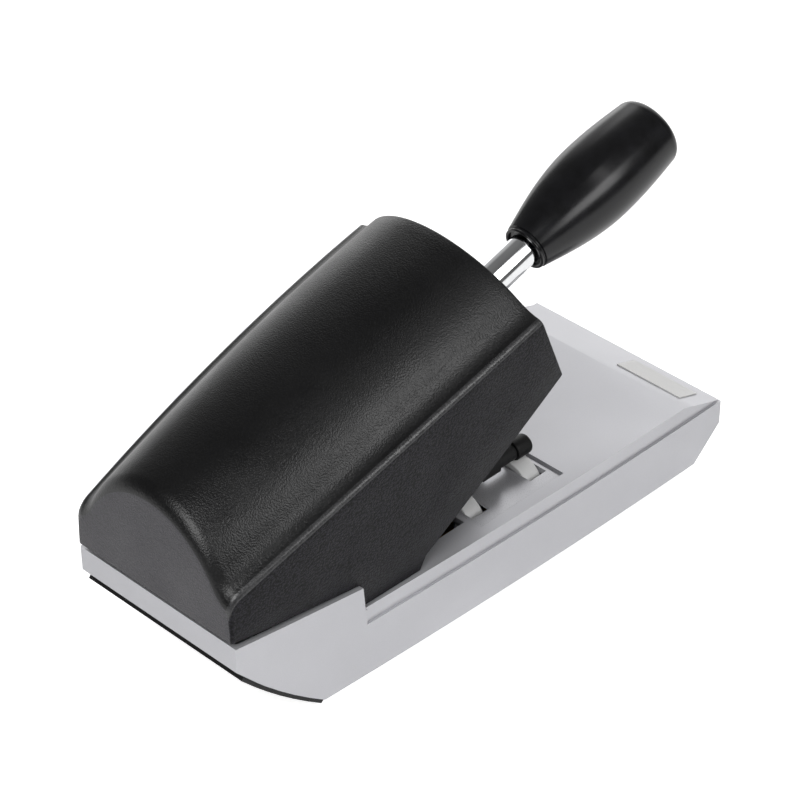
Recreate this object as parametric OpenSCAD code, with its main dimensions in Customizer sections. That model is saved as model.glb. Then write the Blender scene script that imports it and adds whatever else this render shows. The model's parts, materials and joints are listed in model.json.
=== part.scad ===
// Lever check perforator: a desk machine that punches figures through a check, one at each pull.
// Sizes are in millimetres. X is the user's right, -Y faces the user and Z is up.
// The origin is on the desk, under the middle of the machine's outline.
// Inside the modules y = 0 is the middle of the base and z = 0 is its lower edge.

/* [Base] */
// Length of the base, from its front edge to its rear wall
base_len = 310; // [304:1:324]
// Width of the base across its front edge
base_front_w = 120; // [116:1:128]
// Width of the base across its rear wall
base_rear_w = 100; // [98:1:106]
// Bow of each side of the base, seen from above
side_bow = 3; // [0:0.1:3.4]
// Height of the table above the lower edge
table_h = 37.5; // [36.5:0.5:41]
// Wall of the moulded base
shell_wall = 2.5; // [2:0.1:3]
// Length of the bevel at the front
bevel_run = 26.5; // [22:0.5:30]
// Drop of the bevel to the front edge
bevel_drop = 9; // [7:0.5:11]
// Height of the front wall's lower edge
front_wall_low = 16; // [13:0.5:19]
// Length of the slope under the front wall
front_undercut = 18; // [14:1:22]
// Length of the raised rim at the rear
rim_run = 71.4; // [70:0.2:78]
// Rise of the rim above the table at its front
rim_front_rise = 13; // [11:0.5:15]
// Rise of the rim above the table at the rear wall
rim_rear_rise = 19.5; // [17:0.5:22]
// Wall of the rim
rim_wall = 3; // [2.5:0.1:3.4]
// Rise of the rear wall's lower edge above the table
rear_wall_rise = 6.5; // [5:0.5:9]
// Length of the slope under the rear wall
rear_undercut = 48; // [42:1:52]
// Depth that the upper band of each side is set in
band_inset = 1.2; // [0.3:0.1:1.5]
// Height of the base's lower edge above the desk
foot_h = 3; // [2.8:0.1:5]
// Diameter of the rubber feet
foot_d = 14; // [11:1:17]

/* [Head cover] */
// Set-in of the cover's side from the base at the rear
cover_rear_set = 0; // [0:0.1:1]
// Set-in of the cover's side from the base at its front
cover_front_set = 5.1; // [4:0.1:6]
// Bow of the cover's foot, seen from above
foot_bow = 0.8; // [0:0.1:1.2]
// Set-in of the crease from the base at the rear
crease_rear_set = 1.3; // [1:0.1:2]
// Set-in of the crease from the base at the front
crease_front_set = 2.8; // [2:0.1:4]
// Bow of the crease, seen from above
crease_bow = 2.7; // [0:0.1:3.5]
// Wall of the cover
cover_wall = 3; // [2.4:0.1:3.4]
// Overhang of the cover past the rear wall
cover_over = 1.2; // [0.5:0.1:3]
// Widening of the seam between cover and rim towards the rear
rear_gap = 2.7; // [0:0.1:3]
// Height of the crease above the table at the rear
crease_rear_rise = 44; // [42:0.1:47]
// Slope of the crease from end to end, in degrees
crease_slope = 16.9; // [16:0.1:18]
// Rise of the crease's curve above a straight line
crease_lift = 3.6; // [0:0.1:4.5]
// Rise of the crown above the crease at the front
crown_rise = 30.6; // [29:0.1:33]
// Rise of the crown above the crease at the rear
crown_rear_rise = 33; // [30:0.5:35]
// Radius of the arch at the front
arch_r = 55.5; // [52:0.5:58]
// Radius of the rolled edge over the rear face
roll_r = 6; // [4:0.5:7]
// Lean of the front face, in degrees
face_lean = 23; // [20:0.5:25]
// Height of the front face's foot above the table
face_rise = 62.5; // [60:0.1:64]
// Distance of the front face's foot before the middle
face_out = 42.9; // [42:0.1:46]
// Distance of the throat's foot behind the middle
throat_back = 46.8; // [45:0.2:50]
// Setback of the front panel behind the cover's edge
panel_set = 2; // [1:0.5:3]

/* [Lever] */
// Height of the lever's pivot above the table
pivot_rise = 65.1; // [64:0.1:66]
// Angle of the resting lever above level, in degrees
lever_rest = 16.8; // [16:0.1:18.5]
// Swing of the lever, in degrees
lever_swing = 30; // [26:1:31]
// Diameter of the chrome rod
rod_d = 16; // [14:0.5:16.5]
// Distance of the grip from the pivot
grip_start = 80; // [76:1:90]
// Length of the grip
grip_len = 92.6; // [84:0.2:100]
// Largest diameter of the grip
grip_d = 41.2; // [36:0.2:44]
// Diameter of the grip at its neck
grip_neck_d = 22.8; // [22:0.2:26]
// Diameter of the grip at its tip
grip_tip_d = 35.2; // [31:0.2:36]
// Diameter of the pivot shaft
pivot_d = 12; // [10:0.5:13]

/* [Punch] */
// Distance of the punch before the pivot
punch_out = 21; // [20:0.5:22]
// Thickness of each steel cheek
cheek_t = 5; // [4:0.5:6]
// Space between the cheeks
cheek_gap = 19; // [18.6:0.2:20]
// Diameter of a punch pin
pin_d = 1.2; // [1:0.1:1.4]
// Spacing of the punch pins
pin_pitch = 2.2; // [2.1:0.1:2.4]
// Height of the paper gap under the stripper
paper_gap = 5.8; // [5.6:0.1:6.2]
// Thickness of the stripper block
stripper_t = 6.5; // [5.5:0.5:7]
// Thickness of the die plate
die_t = 8; // [6:0.5:9]
// Diameter of the character dial
dial_d = 54; // [50:1:55]
// Thickness of the character dial
dial_t = 4; // [3:0.5:4.5]
// Characters on the dial
dial_count = 12; // [10:1:12]

/* [Feed] */
// Depth of the feed plate below the table
plate_drop = 1.3; // [1:0.1:1.8]
// Diameter of a feed wheel
wheel_d = 26.8; // [26:0.2:27.4]
// Width of a feed wheel
wheel_w = 9.6; // [8:0.1:10.4]
// Rise of the wheels above the feed plate
wheel_rise = 3; // [2:0.2:3.6]
// Distance of the feed shaft left of the middle
feed_x = 28.6; // [28.6:0.2:30]
// Diameter of the feed shaft
feed_shaft_d = 6; // [5:0.5:7]
// Diameter of a pinch roller
roller_d = 10; // [9:0.5:11]
// Diameter of the pinch bar
pinch_bar_d = 8; // [6:0.5:8.5]
// Teeth of the ratchet wheel
ratchet_count = 12; // [10:1:16]

/* [Hidden] */
$fn = 64;
// Running clearance of a shaft, slip of pieces that slide, and gap between parts that move apart
run_gap = 0.05;
slip = 0.3;
free_gap = 0.4;
// Cut overlap, so that a cut passes right through
cut = 1;

rear_y = base_len / 2;
front_y = -base_len / 2;
step_y = rear_y - rim_run;
step_slant = 1.2;
deck_z = table_h - shell_wall;
rear_wall_low = table_h + rear_wall_rise;
paper_z = table_h - plate_drop;
undercut_bulge = 2;

cover_rear_y = rear_y + cover_over;
face_y = -face_out;
face_z = table_h + face_rise;
face_k = tan(face_lean);
cover_len = cover_rear_y - face_y;
crease_zs = [table_h + crease_rear_rise, table_h + crease_rear_rise + cover_len * tan(crease_slope)];
crease_hws = [base_rear_w / 2 - crease_rear_set, base_hw(face_y) - crease_front_set];
cover_hws = [base_rear_w / 2 - cover_rear_set, base_hw(face_y) - cover_front_set];
side_steps = 12;
lean_steps = 8;
seam = 0.3;
throat_knee = [throat_back - 3.3, table_h + 6.7];
arch_sweep = 54;
arch_steps = 24;
flank_steps = 6;
roll_steps = 5;
throat_steps = 4;
rim_steps = 4;
cover_top = cover_wall * 1.15;
side_roll = 0.4;

pivot_y = 0;
pivot_z = table_h + pivot_rise;
punch_y = pivot_y - punch_out;
lever_low = lever_swing - lever_rest;
crank = punch_out / cos(lever_rest);
stroke = crank * (sin(lever_rest) + sin(lever_low));
crank_z = pivot_z + crank * sin(lever_rest);
tail = 20;
tail_y = pivot_y + tail * cos(lever_rest);
tail_z = pivot_z - tail * sin(lever_rest);
tail_lift = tail * (sin(lever_rest) + sin(lever_low));

cheek_in = cheek_gap / 2;
cheek_out = cheek_in + cheek_t;
hub_w = cheek_gap - 2 * slip;
hub_h = 18;
hub_end = 46;
bush_wall = 2;
crank_pin_d = 6;
tail_pin_d = 5;
pivot_boss_r = pivot_d / 2 + bush_wall + 4;

grip_bore_d = 12;
grip_bore_depth = 60;
grip_belly = 0.56;
grip_corner = 5;
grip_neck_lip = 1.2;
shank_d = 10;
shank_len = 11;
grip_end = grip_start + grip_len;
lever_reach = (grip_end - grip_corner) * cos(lever_rest)
    + (grip_radius(1 - grip_corner / grip_len) - grip_corner) * sin(lever_rest) + grip_corner;
base_mid = -(cover_rear_y + pivot_y - lever_reach) / 2;

// Levels of the punch, from the paper upwards
pan_t = 2;
pan_z = -1;
bed_t = 3;
bed_z = 3.5;
arm_low = bed_z + bed_t;
die_z = paper_z - die_t;
strip_z = paper_z + paper_gap;
strip_top = strip_z + stripper_t;
lifter_t = 1.5;
lifter_z = strip_top + stroke + free_gap;
head_t = 1.2;
head_z = lifter_z + lifter_t;
dial_z = head_z + head_t + slip;
foot_t = 4;
foot_z = dial_z + dial_t + slip;
guide_z = foot_z + foot_t + free_gap;
guide_half = 11.5;
guide_top = pivot_z - (punch_out + guide_half) * tan(lever_low) - hub_h / 2 / cos(lever_low) - 2 * slip;
ram_half = 7;
tongue_half = cheek_in / 2;
tongue_y = 6;
shoulder_z = pivot_z + (punch_out - ram_half) * tan(lever_rest) - hub_h / 2 / cos(lever_rest) - 2;
strip_w = 17.5;
die_w = 2 * cheek_out + 1;
die_l = 20;
jaw_half = 12;
dial_x = 22;
pin_cols = 1;
pin_rows = 2;
pin_head_d = 1.9;
spindle_d = 5;
click_r = 12;

// Feed train
plate_t = 1.2;
plate_w = 102;
plate_y = [-50.5, 5.2];
plate_gap = 1.2;
plate_lip = [0.8, 0.9];
wheel_z = paper_z + wheel_rise - wheel_d / 2;
wheel_ys = [-42.2, -3.2];
slot_w = wheel_w + 1.2;
slot_half = wheel_d / 2 + 1;
roller_z = paper_z + wheel_rise + slip + roller_d / 2;
roller_w = 10;
roller_ys = [wheel_ys[0] - 2, wheel_ys[1]];
bearing_ys = [-30, 8];
bearing_w = 7;
bearing_half = 5;
ratchet_r = 6.2;
ratchet_t = 3.4;
bar_t = 3;
bar_half = 4;
bar_x = -cheek_out - 0.7 - bar_t;
bar_low = arm_low + 29;
bar_top = tail_z + 5.5;
pawl_x = -feed_x + ratchet_r + slip + 1.1;
pawl_z = bar_low + 4;
pawl_pin_d = 2.5;
opening_y = [7.9, 75];
opening_half = 43;

// Places of the fasteners, each set in from the side it is near, and the chad hatch
screw_d = 3;
screw_head_d = 6;
screw_head_t = 2;
pan_head_t = 1.5;
pan_inset = 8.5;
bed_inset = 5;
boss_r = 4;
cover_boss_r = 4;
bed_y = [punch_y - 42, step_y + 9];
bed_bosses = [for (y = [bed_y[0] + 5, bed_y[1] - 6])
    [base_hw(y) - pan_inset - screw_head_d / 2 - 2 * slip, y]];
pan_y = [front_y + front_undercut + 2, rear_y - rear_undercut];
pan_bosses = [for (y = [front_y + 33, rear_y - 57]) [base_hw(y) - pan_inset - boss_r - 5, y]];
foot_places = [for (y = [front_y + 45, rear_y - 70]) [base_hw(y) - pan_inset - foot_d / 2 - 5, y]];
cover_bosses = [for (y = [step_y - 17, rear_y - 22])
    [min(cover_hw(y) - cover_wall, base_hw(y) - rim_wall) - cover_boss_r - 1, y]];
tie_places = [[tail_y, arm_low + 44], [60, arm_low + 14], [60, pivot_z - 4]];
tie_d = 8;
tie_end_d = 5;
cheek_rear = 70;
column_y = 12;
cheek_top = pivot_z + 13;
hatch_half = 16;
hatch_len = 44;
hatch_y = punch_y - hatch_len / 2;
hatch_t = 1;
hatch_travel = 40;

// Return spring: a coil drawn out between the tail pin and the lower tie bar
spring_wire = 1.1;
spring_r = 3.2;
spring_turns = 9;
spring_rings = 8;
spring_sides = 6;
spring_low = tie_places[0][1] + tie_d / 2 + 0.2;
spring_high = tail_z - tail_pin_d / 2 - 0.2;
spring_lead = 4;

silver = [0.76, 0.76, 0.78];
black = [0.13, 0.13, 0.14];
steel = [0.62, 0.63, 0.65];
chrome = [0.86, 0.87, 0.88];
brass = [0.72, 0.6, 0.35];
rubber = [0.08, 0.08, 0.08];
pale = [0.85, 0.85, 0.84];

// Value at a share t of the way from a rear end to a front end, with a bow between them
function bowed(ends, bow, t) = ends[0] + (ends[1] - ends[0]) * t + 4 * bow * t * (1 - t);

// Half width of the base along the machine, and a line of points along its side
function base_hw(y) = bowed([base_rear_w / 2, base_front_w / 2], side_bow, (rear_y - y) / base_len);
function side_line(out, ys) = [for (i = [0:side_steps])
    let (y = ys[0] + (ys[1] - ys[0]) * i / side_steps)
    [base_hw(y) + out, y]];

// Half widths of the cover at the table and at the crease, height of the crease, and half width between them
function cover_t(y) = (cover_rear_y - y) / cover_len;
function cover_hw(y) = bowed(cover_hws, foot_bow, cover_t(y));
function crease_hw(y) = bowed(crease_hws, crease_bow, cover_t(y));
function crease_z(y) = bowed(crease_zs, crease_lift, cover_t(y));
function wall_hw(y, z) = cover_hw(y) + (crease_hw(y) - cover_hw(y)) * (z - table_h) / (crease_z(y) - table_h);
function rim_z(y) =
    table_h + rim_front_rise + (rim_rear_rise - rim_front_rise) * (y - step_y) / rim_run;
function foot_z(y) = rim_z(y) + seam + rear_gap * (y - step_y) / rim_run;

// Curve under the rear wall, moved out by a distance
function undercut(t, out) =
    let (len = norm([rear_undercut, rear_wall_low]), off = 4 * undercut_bulge * t * (1 - t) + out)
    [rear_y - rear_undercut * (1 - t) + off * rear_wall_low / len,
     rear_wall_low * t - off * rear_undercut / len];

// Arch of the cover as a share of its half width: an arc at the crown, then flanks that flatten to the crease
arch_share = arch_r / crease_hw(face_y);
crown_share = crown_rise / crease_hw(face_y);
flank_u = arch_share * sin(arch_sweep);
flank_h = crown_share - arch_share * (1 - cos(arch_sweep));
flank_power = tan(arch_sweep) * (1 - flank_u) / flank_h;
arch_us = concat(
    [for (i = [0:flank_steps - 1]) 1 - (1 - flank_u) * i / flank_steps],
    [for (i = [0:arch_steps]) arch_share * sin(arch_sweep * (1 - 2 * i / arch_steps))],
    [for (i = [1:flank_steps]) -flank_u - (1 - flank_u) * i / flank_steps]);
function arch_h(u) = abs(u) > flank_u
    ? flank_h * pow(max(0, (1 - abs(u)) / (1 - flank_u)), flank_power)
    : crown_share - arch_share + sqrt(pow(arch_share, 2) - pow(u, 2));
function cover_z(u, y) =
    crease_z(y) + arch_h(u) / crown_share * bowed([crown_rear_rise, crown_rise], 0, cover_t(y));

// Place along a leaning row where it reaches the arch, found in a few steps
function lean_y(u, row, top, n, y) = n == 0
    ? y
    : lean_y(u, row, top, n - 1, row[0] + row[2] * (cover_z(u, y) - top - row[1]));
function cover_point(u, row, side, top) =
    let (y = lean_y(u, row, top, lean_steps, row[0]))
    [u * (crease_hw(y) - side), y, cover_z(u, y) - top];

// Puts a part of the base's frame into the machine's own
module placed() {
    translate([0, base_mid, foot_h])
        children();
}

// Plate whose outline is drawn from the side
module side_plate(x, t, outline) {
    translate([x, 0, 0])
        rotate([90, 0, 90])
            linear_extrude(t)
                polygon(outline);
}

// Slab that follows the sides of the base
module flared(inset, ys, zs) {
    side = side_line(-inset, ys);
    translate([0, 0, zs[0]])
        linear_extrude(zs[1] - zs[0])
            polygon(concat(side, [for (i = [side_steps:-1:0]) [-side[i][0], side[i][1]]]));
}

// Block between two corners
module block(low, high) {
    translate(low)
        cube(high - low);
}

// Round bar along X or Y
module bar_x_at(x, len, r, y, z) {
    translate([x, y, z])
        rotate([0, 90, 0])
            cylinder(r = r, h = len);
}
module bar_y_at(x, y, z, len, r) {
    translate([x, y, z])
        rotate([-90, 0, 0])
            cylinder(r = r, h = len);
}

// Part drawn for the right side, put on the side s
module sided(s) {
    if (s < 0)
        mirror([1, 0, 0])
            children();
    else
        children();
}

// Copies on both sides of the middle
module both_sides(places) {
    for (p = places)
        for (s = [-1, 1])
            translate([s * p[0], p[1], 0])
                children();
}

// Screw whose head is below, with its tip up
module screw_up(z, len) {
    translate([0, 0, z])
        cylinder(d = screw_head_d, h = screw_head_t);
    translate([0, 0, z + screw_head_t])
        cylinder(d = screw_d, h = len);
}
module screw_hole(z, len) {
    translate([0, 0, z])
        cylinder(d = screw_d + 2 * run_gap, h = len);
}

// Solid skin through rings of points
module ring_skin(rings) {
    n = len(rings[0]);
    last = (len(rings) - 1) * n;
    polyhedron(
        points = [for (r = rings) each r],
        faces = concat(
            [[for (i = [0:n - 1]) n - 1 - i]],
            [for (k = [0:len(rings) - 2]) for (i = [0:n - 1]) each [
                [k * n + i, k * n + (i + 1) % n, (k + 1) * n + i],
                [k * n + (i + 1) % n, (k + 1) * n + (i + 1) % n, (k + 1) * n + i]]],
            [[for (i = [0:n - 1]) last + i]]));
}

// Lever's own frame: pivot at the origin, rod along -Y
module in_lever() {
    translate([0, pivot_y, pivot_z])
        rotate([-lever_rest, 0, 0])
            children();
}

module base_outline_solid() {
    outline = concat(
        [for (i = [0:6]) undercut(i / 6, 0)],
        [[rear_y, rim_z(rear_y)], [step_y, rim_z(step_y)], [step_y - step_slant, table_h],
         [front_y + bevel_run, table_h], [front_y, table_h - bevel_drop],
         [front_y, front_wall_low], [front_y + front_undercut, 0]]);
    intersection() {
        side_plate(-base_front_w, 2 * base_front_w, outline);
        flared(0, [front_y, rear_y], [-cut, table_h + rim_rear_rise + cut]);
    }
}

module base_hollow() {
    high = rear_wall_low + 10;
    bevel_in = table_h - bevel_drop - shell_wall * 1.06;
    undercut_in = shell_wall * norm([front_undercut, front_wall_low]) / front_wall_low;
    outline = concat(
        [[rear_y - rear_undercut - shell_wall * 1.5, -cut]],
        [for (i = [0:6]) undercut(i / 6, -shell_wall)],
        [[rear_y - shell_wall, high],
         [front_y + shell_wall + (high - bevel_in) * bevel_run / bevel_drop, high],
         [front_y + shell_wall, bevel_in], [front_y + shell_wall, front_wall_low],
         [front_y + front_undercut + undercut_in, -cut]]);
    intersection() {
        side_plate(-base_front_w, 2 * base_front_w, outline);
        flared(shell_wall + band_inset, [front_y, rear_y], [-cut, deck_z]);
    }
}

module base_shell() {
    flange_t = 2;
    ledge = 3;
    color(silver)
        difference() {
            union() {
                difference() {
                    base_outline_solid();
                    base_hollow();
                }
                intersection() {
                    base_outline_solid();
                    union() {
                        flared(shell_wall / 2, [front_y, rear_y - rear_undercut], [0, flange_t]);
                        block([-plate_w / 2 - ledge, plate_y[0] - ledge, deck_z - 2],
                            [plate_w / 2 + ledge, plate_y[1] + 2, table_h]);
                        both_sides(bed_bosses)
                            translate([0, 0, arm_low])
                                cylinder(r = boss_r, h = deck_z - arm_low + cut);
                        both_sides(pan_bosses)
                            translate([0, 0, pan_z + pan_t])
                                cylinder(r = boss_r, h = deck_z - pan_z - pan_t + cut);
                    }
                }
            }
            // Opening of the pan, and its shallow seat under the rear wall
            difference() {
                intersection() {
                    side_plate(-base_rear_w, 2 * base_rear_w, concat(
                        [[pan_y[0] - slip, -9], [pan_y[0] - slip, 3 * flange_t],
                         [pan_y[1] + cut, 3 * flange_t]],
                        [for (i = [0:6]) undercut(0.05 + 0.92 * i / 6, -1.2)],
                        [undercut(0.97, 3), [rear_y + 9, -9]]));
                    flared(pan_inset - slip, [front_y, rear_y + 9], [-9, rear_wall_low]);
                }
                both_sides(pan_bosses)
                    translate([0, 0, pan_z + pan_t])
                        cylinder(r = boss_r, h = 3 * flange_t);
            }
            // Well inside the rim, under the cover
            flared(rim_wall, [step_y - 9, rear_y - rim_wall], [table_h, table_h + rim_rear_rise + cut]);
            // Upper band of each side, set in as far as the step
            for (s = [-1, 1])
                sided(s)
                    translate([0, 0, table_h - bevel_drop + 0.2])
                        linear_extrude(bevel_drop + cut)
                            polygon(concat(
                                side_line(-band_inset, [front_y - cut, step_y - 2]),
                                side_line(cut, [step_y - 2, front_y - cut])));
            // Seat of the feed plate, the hole below it and the opening of the frame
            block([-plate_w / 2 - slip / 2, plate_y[0] - slip / 2, deck_z],
                [plate_w / 2 + slip / 2, plate_y[1] + slip / 2, table_h + cut]);
            block([-plate_w / 2 + ledge, plate_y[0] + ledge, deck_z - 9],
                [plate_w / 2 - ledge, plate_y[1] - ledge, deck_z + cut]);
            block([-opening_half, opening_y[0], deck_z - 9], [opening_half, opening_y[1], table_h + cut]);
            // Screw holes
            both_sides(bed_bosses)
                screw_hole(arm_low - cut, 16);
            both_sides(pan_bosses)
                screw_hole(pan_z, 16);
            both_sides(cover_bosses)
                screw_hole(deck_z - cut, shell_wall + 2 * cut);
        }
}

// Plate under the check, with a gap in front of it and a low lip along its rear edge
module feed_plate() {
    color(silver)
        difference() {
            union() {
                block([-plate_w / 2, plate_y[0] + plate_gap, paper_z - plate_t], [plate_w / 2, plate_y[1], paper_z]);
                block([-plate_w / 2, plate_y[1] - plate_lip[0], paper_z - plate_t],
                    [plate_w / 2, plate_y[1], paper_z + plate_lip[1]]);
            }
            for (y = wheel_ys)
                block([-feed_x - slot_half, y - slot_w / 2, paper_z - plate_t - cut],
                    [-feed_x + slot_half, y + slot_w / 2, paper_z + cut]);
            block([-die_w / 2 - slip / 2, punch_y - die_l / 2 - slip / 2, paper_z - plate_t - cut],
                [die_w / 2 + slip / 2, punch_y + die_l / 2 + slip / 2, paper_z + cut]);
        }
}

// Side outline of a sheet along the curve under the rear wall, up to a share of the curve
function pan_flap(low, high, reach) = concat(
    [for (i = [0:6]) undercut(i / 6 * reach, high)],
    [for (i = [6:-1:0]) undercut(i / 6 * reach, low)]);

module bottom_pan() {
    lip = 2;
    rail = 2.8;
    rail_low = -foot_h + 0.2;
    skirt_t = 2.2;
    skirt_inset = 0.8;
    color(black)
        difference() {
            union() {
                flared(pan_inset, pan_y, [pan_z, pan_z + pan_t]);
                intersection() {
                    side_plate(-base_rear_w, 2 * base_rear_w, pan_flap(-1, 1, 0.96));
                    flared(pan_inset, [pan_y[1] - 9, rear_y + 9], [-9, rear_wall_low]);
                }
                intersection() {
                    side_plate(-base_rear_w, 2 * base_rear_w, pan_flap(seam, skirt_t, 0.9));
                    flared(skirt_inset, [pan_y[1] - 9, rear_y + 9], [-9, rear_wall_low]);
                }
                for (s = [-1, 1])
                    sided(s) {
                        block([hatch_half + slip, hatch_y - hatch_travel, rail_low],
                            [hatch_half + slip + rail, hatch_y + hatch_len, pan_z]);
                        block([hatch_half - lip, hatch_y - hatch_travel, rail_low],
                            [hatch_half + slip, hatch_y + hatch_len, rail_low + 0.4]);
                    }
            }
            block([-hatch_half + 3, punch_y - 16, pan_z - 0.01], [hatch_half - 3, punch_y + 16, pan_z + pan_t + cut]);
            both_sides(pan_bosses) {
                screw_hole(pan_z - cut, pan_t + 2 * cut);
            }
        }
}

module rubber_feet() {
    color(rubber)
        both_sides(foot_places)
            translate([0, 0, -foot_h])
                cylinder(d = foot_d, h = foot_h + pan_z);
}

module pan_screws() {
    color(steel)
        both_sides(pan_bosses) {
            translate([0, 0, pan_z - pan_head_t])
                cylinder(d = screw_head_d, h = pan_head_t);
            translate([0, 0, pan_z])
                cylinder(d = screw_d, h = 12);
        }
}

module bed_plate() {
    color(steel)
        difference() {
            flared(bed_inset, bed_y, [bed_z, bed_z + bed_t]);
            block([-cheek_in + 0.5, punch_y - 12, bed_z - cut], [cheek_in - 0.5, punch_y + 12, bed_z + bed_t + cut]);
            both_sides(bed_bosses)
                screw_hole(bed_z - cut, bed_t + 2 * cut);
            both_sides(cheek_screw_places())
                screw_hole(bed_z - cut, bed_t + 2 * cut);
        }
}

module bed_screws() {
    color(steel)
        both_sides(bed_bosses)
            screw_up(bed_z - screw_head_t, 11);
}

function cheek_screw_places() = [for (y = [punch_y - 9, 40, 62]) [cheek_in + cheek_t / 2, y]];

// Side outline of a cheek: lower arm, column and upper arm
function cheek_outline(jaw_z) = [
    [punch_y - jaw_half - 3, arm_low], [cheek_rear, arm_low], [cheek_rear, cheek_top - 22],
    [cheek_rear - 22, cheek_top], [punch_y - jaw_half + 7, cheek_top], [punch_y - jaw_half, pivot_z - 6],
    [punch_y - jaw_half, jaw_z], [punch_y + jaw_half, jaw_z], [punch_y + jaw_half, guide_z],
    [column_y, guide_z - 4], [column_y, die_z], [punch_y - jaw_half - 3, die_z]];

module cheek_holes() {
    bar_x_at(-cheek_out - cut, 2 * cheek_out + 2 * cut, pivot_d / 2 + run_gap, pivot_y, pivot_z);
    for (p = tie_places)
        bar_x_at(-cheek_out - cut, 2 * cheek_out + 2 * cut, tie_end_d / 2 + run_gap, p[0], p[1]);
    for (y = guide_screw_ys())
        bar_x_at(-cheek_out - cut, 2 * cheek_out + 2 * cut, screw_d / 2 + run_gap, y, guide_screw_z());
    both_sides(cheek_screw_places())
        screw_hole(arm_low - cut, 10);
    both_sides(die_screw_places())
        screw_hole(die_z - 8, 10);
}

module left_cheek() {
    color(steel)
        difference() {
            side_plate(-cheek_out, cheek_t, cheek_outline(strip_z));
            cheek_holes();
            // Slot for the tail pin, which rises as the lever goes down
            block([-cheek_out - cut, tail_y - tail_pin_d / 2 - 1, tail_z - tail_pin_d / 2 - 1],
                [-cheek_in + cut, tail + tail_pin_d / 2 + 1, tail_z + tail_lift + tail_pin_d / 2 + 1]);
            for (y = stripper_screw_ys())
                bar_x_at(-cheek_out - cut, cheek_t + 2 * cut, screw_d / 2 + run_gap, y, stripper_screw_z());
            for (y = bracket_screw_ys())
                bar_x_at(-cheek_out - cut, cheek_t - 0.5 + cut, screw_d / 2 + run_gap, y, bracket_screw_z());
        }
}

module right_cheek() {
    color(steel)
        difference() {
            side_plate(cheek_in, cheek_t, cheek_outline(guide_z));
            cheek_holes();
        }
}

module cheek_screws() {
    color(steel)
        both_sides(cheek_screw_places())
            screw_up(bed_z - screw_head_t, bed_t + 8);
}

module tie_bars() {
    color(steel)
        for (p = tie_places) {
            bar_x_at(-cheek_in, cheek_gap, tie_d / 2, p[0], p[1]);
            bar_x_at(-cheek_out, 2 * cheek_out, tie_end_d / 2, p[0], p[1]);
        }
}

clip_t = 1.2;
clip_groove = 0.6;

module pivot_shaft() {
    color(steel)
        difference() {
            bar_x_at(-cheek_out - 3, 2 * cheek_out + 6, pivot_d / 2, pivot_y, pivot_z);
            for (s = [-1, 1])
                translate([s * (cheek_out + 0.1 + clip_t / 2), 0, 0])
                    difference() {
                        bar_x_at(-clip_t / 2 - run_gap, clip_t + 2 * run_gap, pivot_d, pivot_y, pivot_z);
                        bar_x_at(-clip_t, 2 * clip_t, pivot_d / 2 - clip_groove, pivot_y, pivot_z);
                    }
        }
}

module shaft_clips() {
    color(steel)
        for (s = [-1, 1])
            translate([s * (cheek_out + 0.1 + clip_t / 2), 0, 0])
                difference() {
                    bar_x_at(-clip_t / 2, clip_t, pivot_d / 2 + 3, pivot_y, pivot_z);
                    bar_x_at(-clip_t, 2 * clip_t, pivot_d / 2 - clip_groove + run_gap, pivot_y, pivot_z);
                    block([-clip_t, pivot_y - pivot_d / 3, pivot_z - pivot_d],
                        [clip_t, pivot_y + pivot_d / 3, pivot_z]);
                }
}

function guide_screw_ys() = [punch_y - guide_half + 2, punch_y + guide_half - 2];
function guide_screw_z() = (guide_z + guide_top) / 2;
function stripper_screw_ys() = [punch_y - jaw_half + 2.5, punch_y + jaw_half - 2.5];
function stripper_screw_z() = strip_z + stripper_t / 2;
function bracket_screw_ys() = [punch_y - 4, punch_y + 4];
function bracket_screw_z() = roller_z + pinch_bar_d / 2 + 4.5;
function die_screw_places() = [for (y = [punch_y - 7, punch_y + 7]) [cheek_in + cheek_t / 2, y]];

module ram_guide() {
    color(brass)
        difference() {
            block([-cheek_in, punch_y - guide_half, guide_z], [cheek_in, punch_y + guide_half, guide_top]);
            block([-ram_half - slip / 2, punch_y - ram_half - slip / 2, guide_z - cut],
                [ram_half + slip / 2, punch_y + ram_half + slip / 2, guide_top + cut]);
            for (y = guide_screw_ys())
                bar_x_at(-cheek_in - cut, cheek_gap + 2 * cut, screw_d / 2 + run_gap, y, guide_screw_z());
        }
}

// Pan-head screw along X, head outwards on the side s
module screw_in(s, len, y, z) {
    sided(s) {
        bar_x_at(cheek_out, 1.8, screw_head_d / 2 - 0.5, y, z);
        bar_x_at(cheek_out - len, len, screw_d / 2, y, z);
    }
}

module guide_screws() {
    color(steel)
        for (y = guide_screw_ys())
            for (s = [-1, 1])
                screw_in(s, cheek_t + 6, y, guide_screw_z());
}

// Every place in the block of punch pins
module at_pins() {
    for (c = [-pin_cols:pin_cols])
        for (r = [-pin_rows:pin_rows])
            translate([c * pin_pitch, punch_y + r * pin_pitch, 0])
                children();
}

module stripper_block() {
    color(steel)
        difference() {
            block([-cheek_in, punch_y - jaw_half, strip_z],
                [-cheek_in + strip_w, punch_y + jaw_half, strip_top]);
            at_pins()
                translate([0, 0, strip_z - cut])
                    cylinder(d = pin_d + 2 * run_gap, h = stripper_t + 2 * cut, $fn = 24);
            for (y = stripper_screw_ys())
                bar_x_at(-cheek_in - cut, 8, screw_d / 2 + run_gap, y, stripper_screw_z());
        }
}

module stripper_screws() {
    color(steel)
        for (y = stripper_screw_ys())
            screw_in(-1, cheek_t + 6, y, stripper_screw_z());
}

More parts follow.
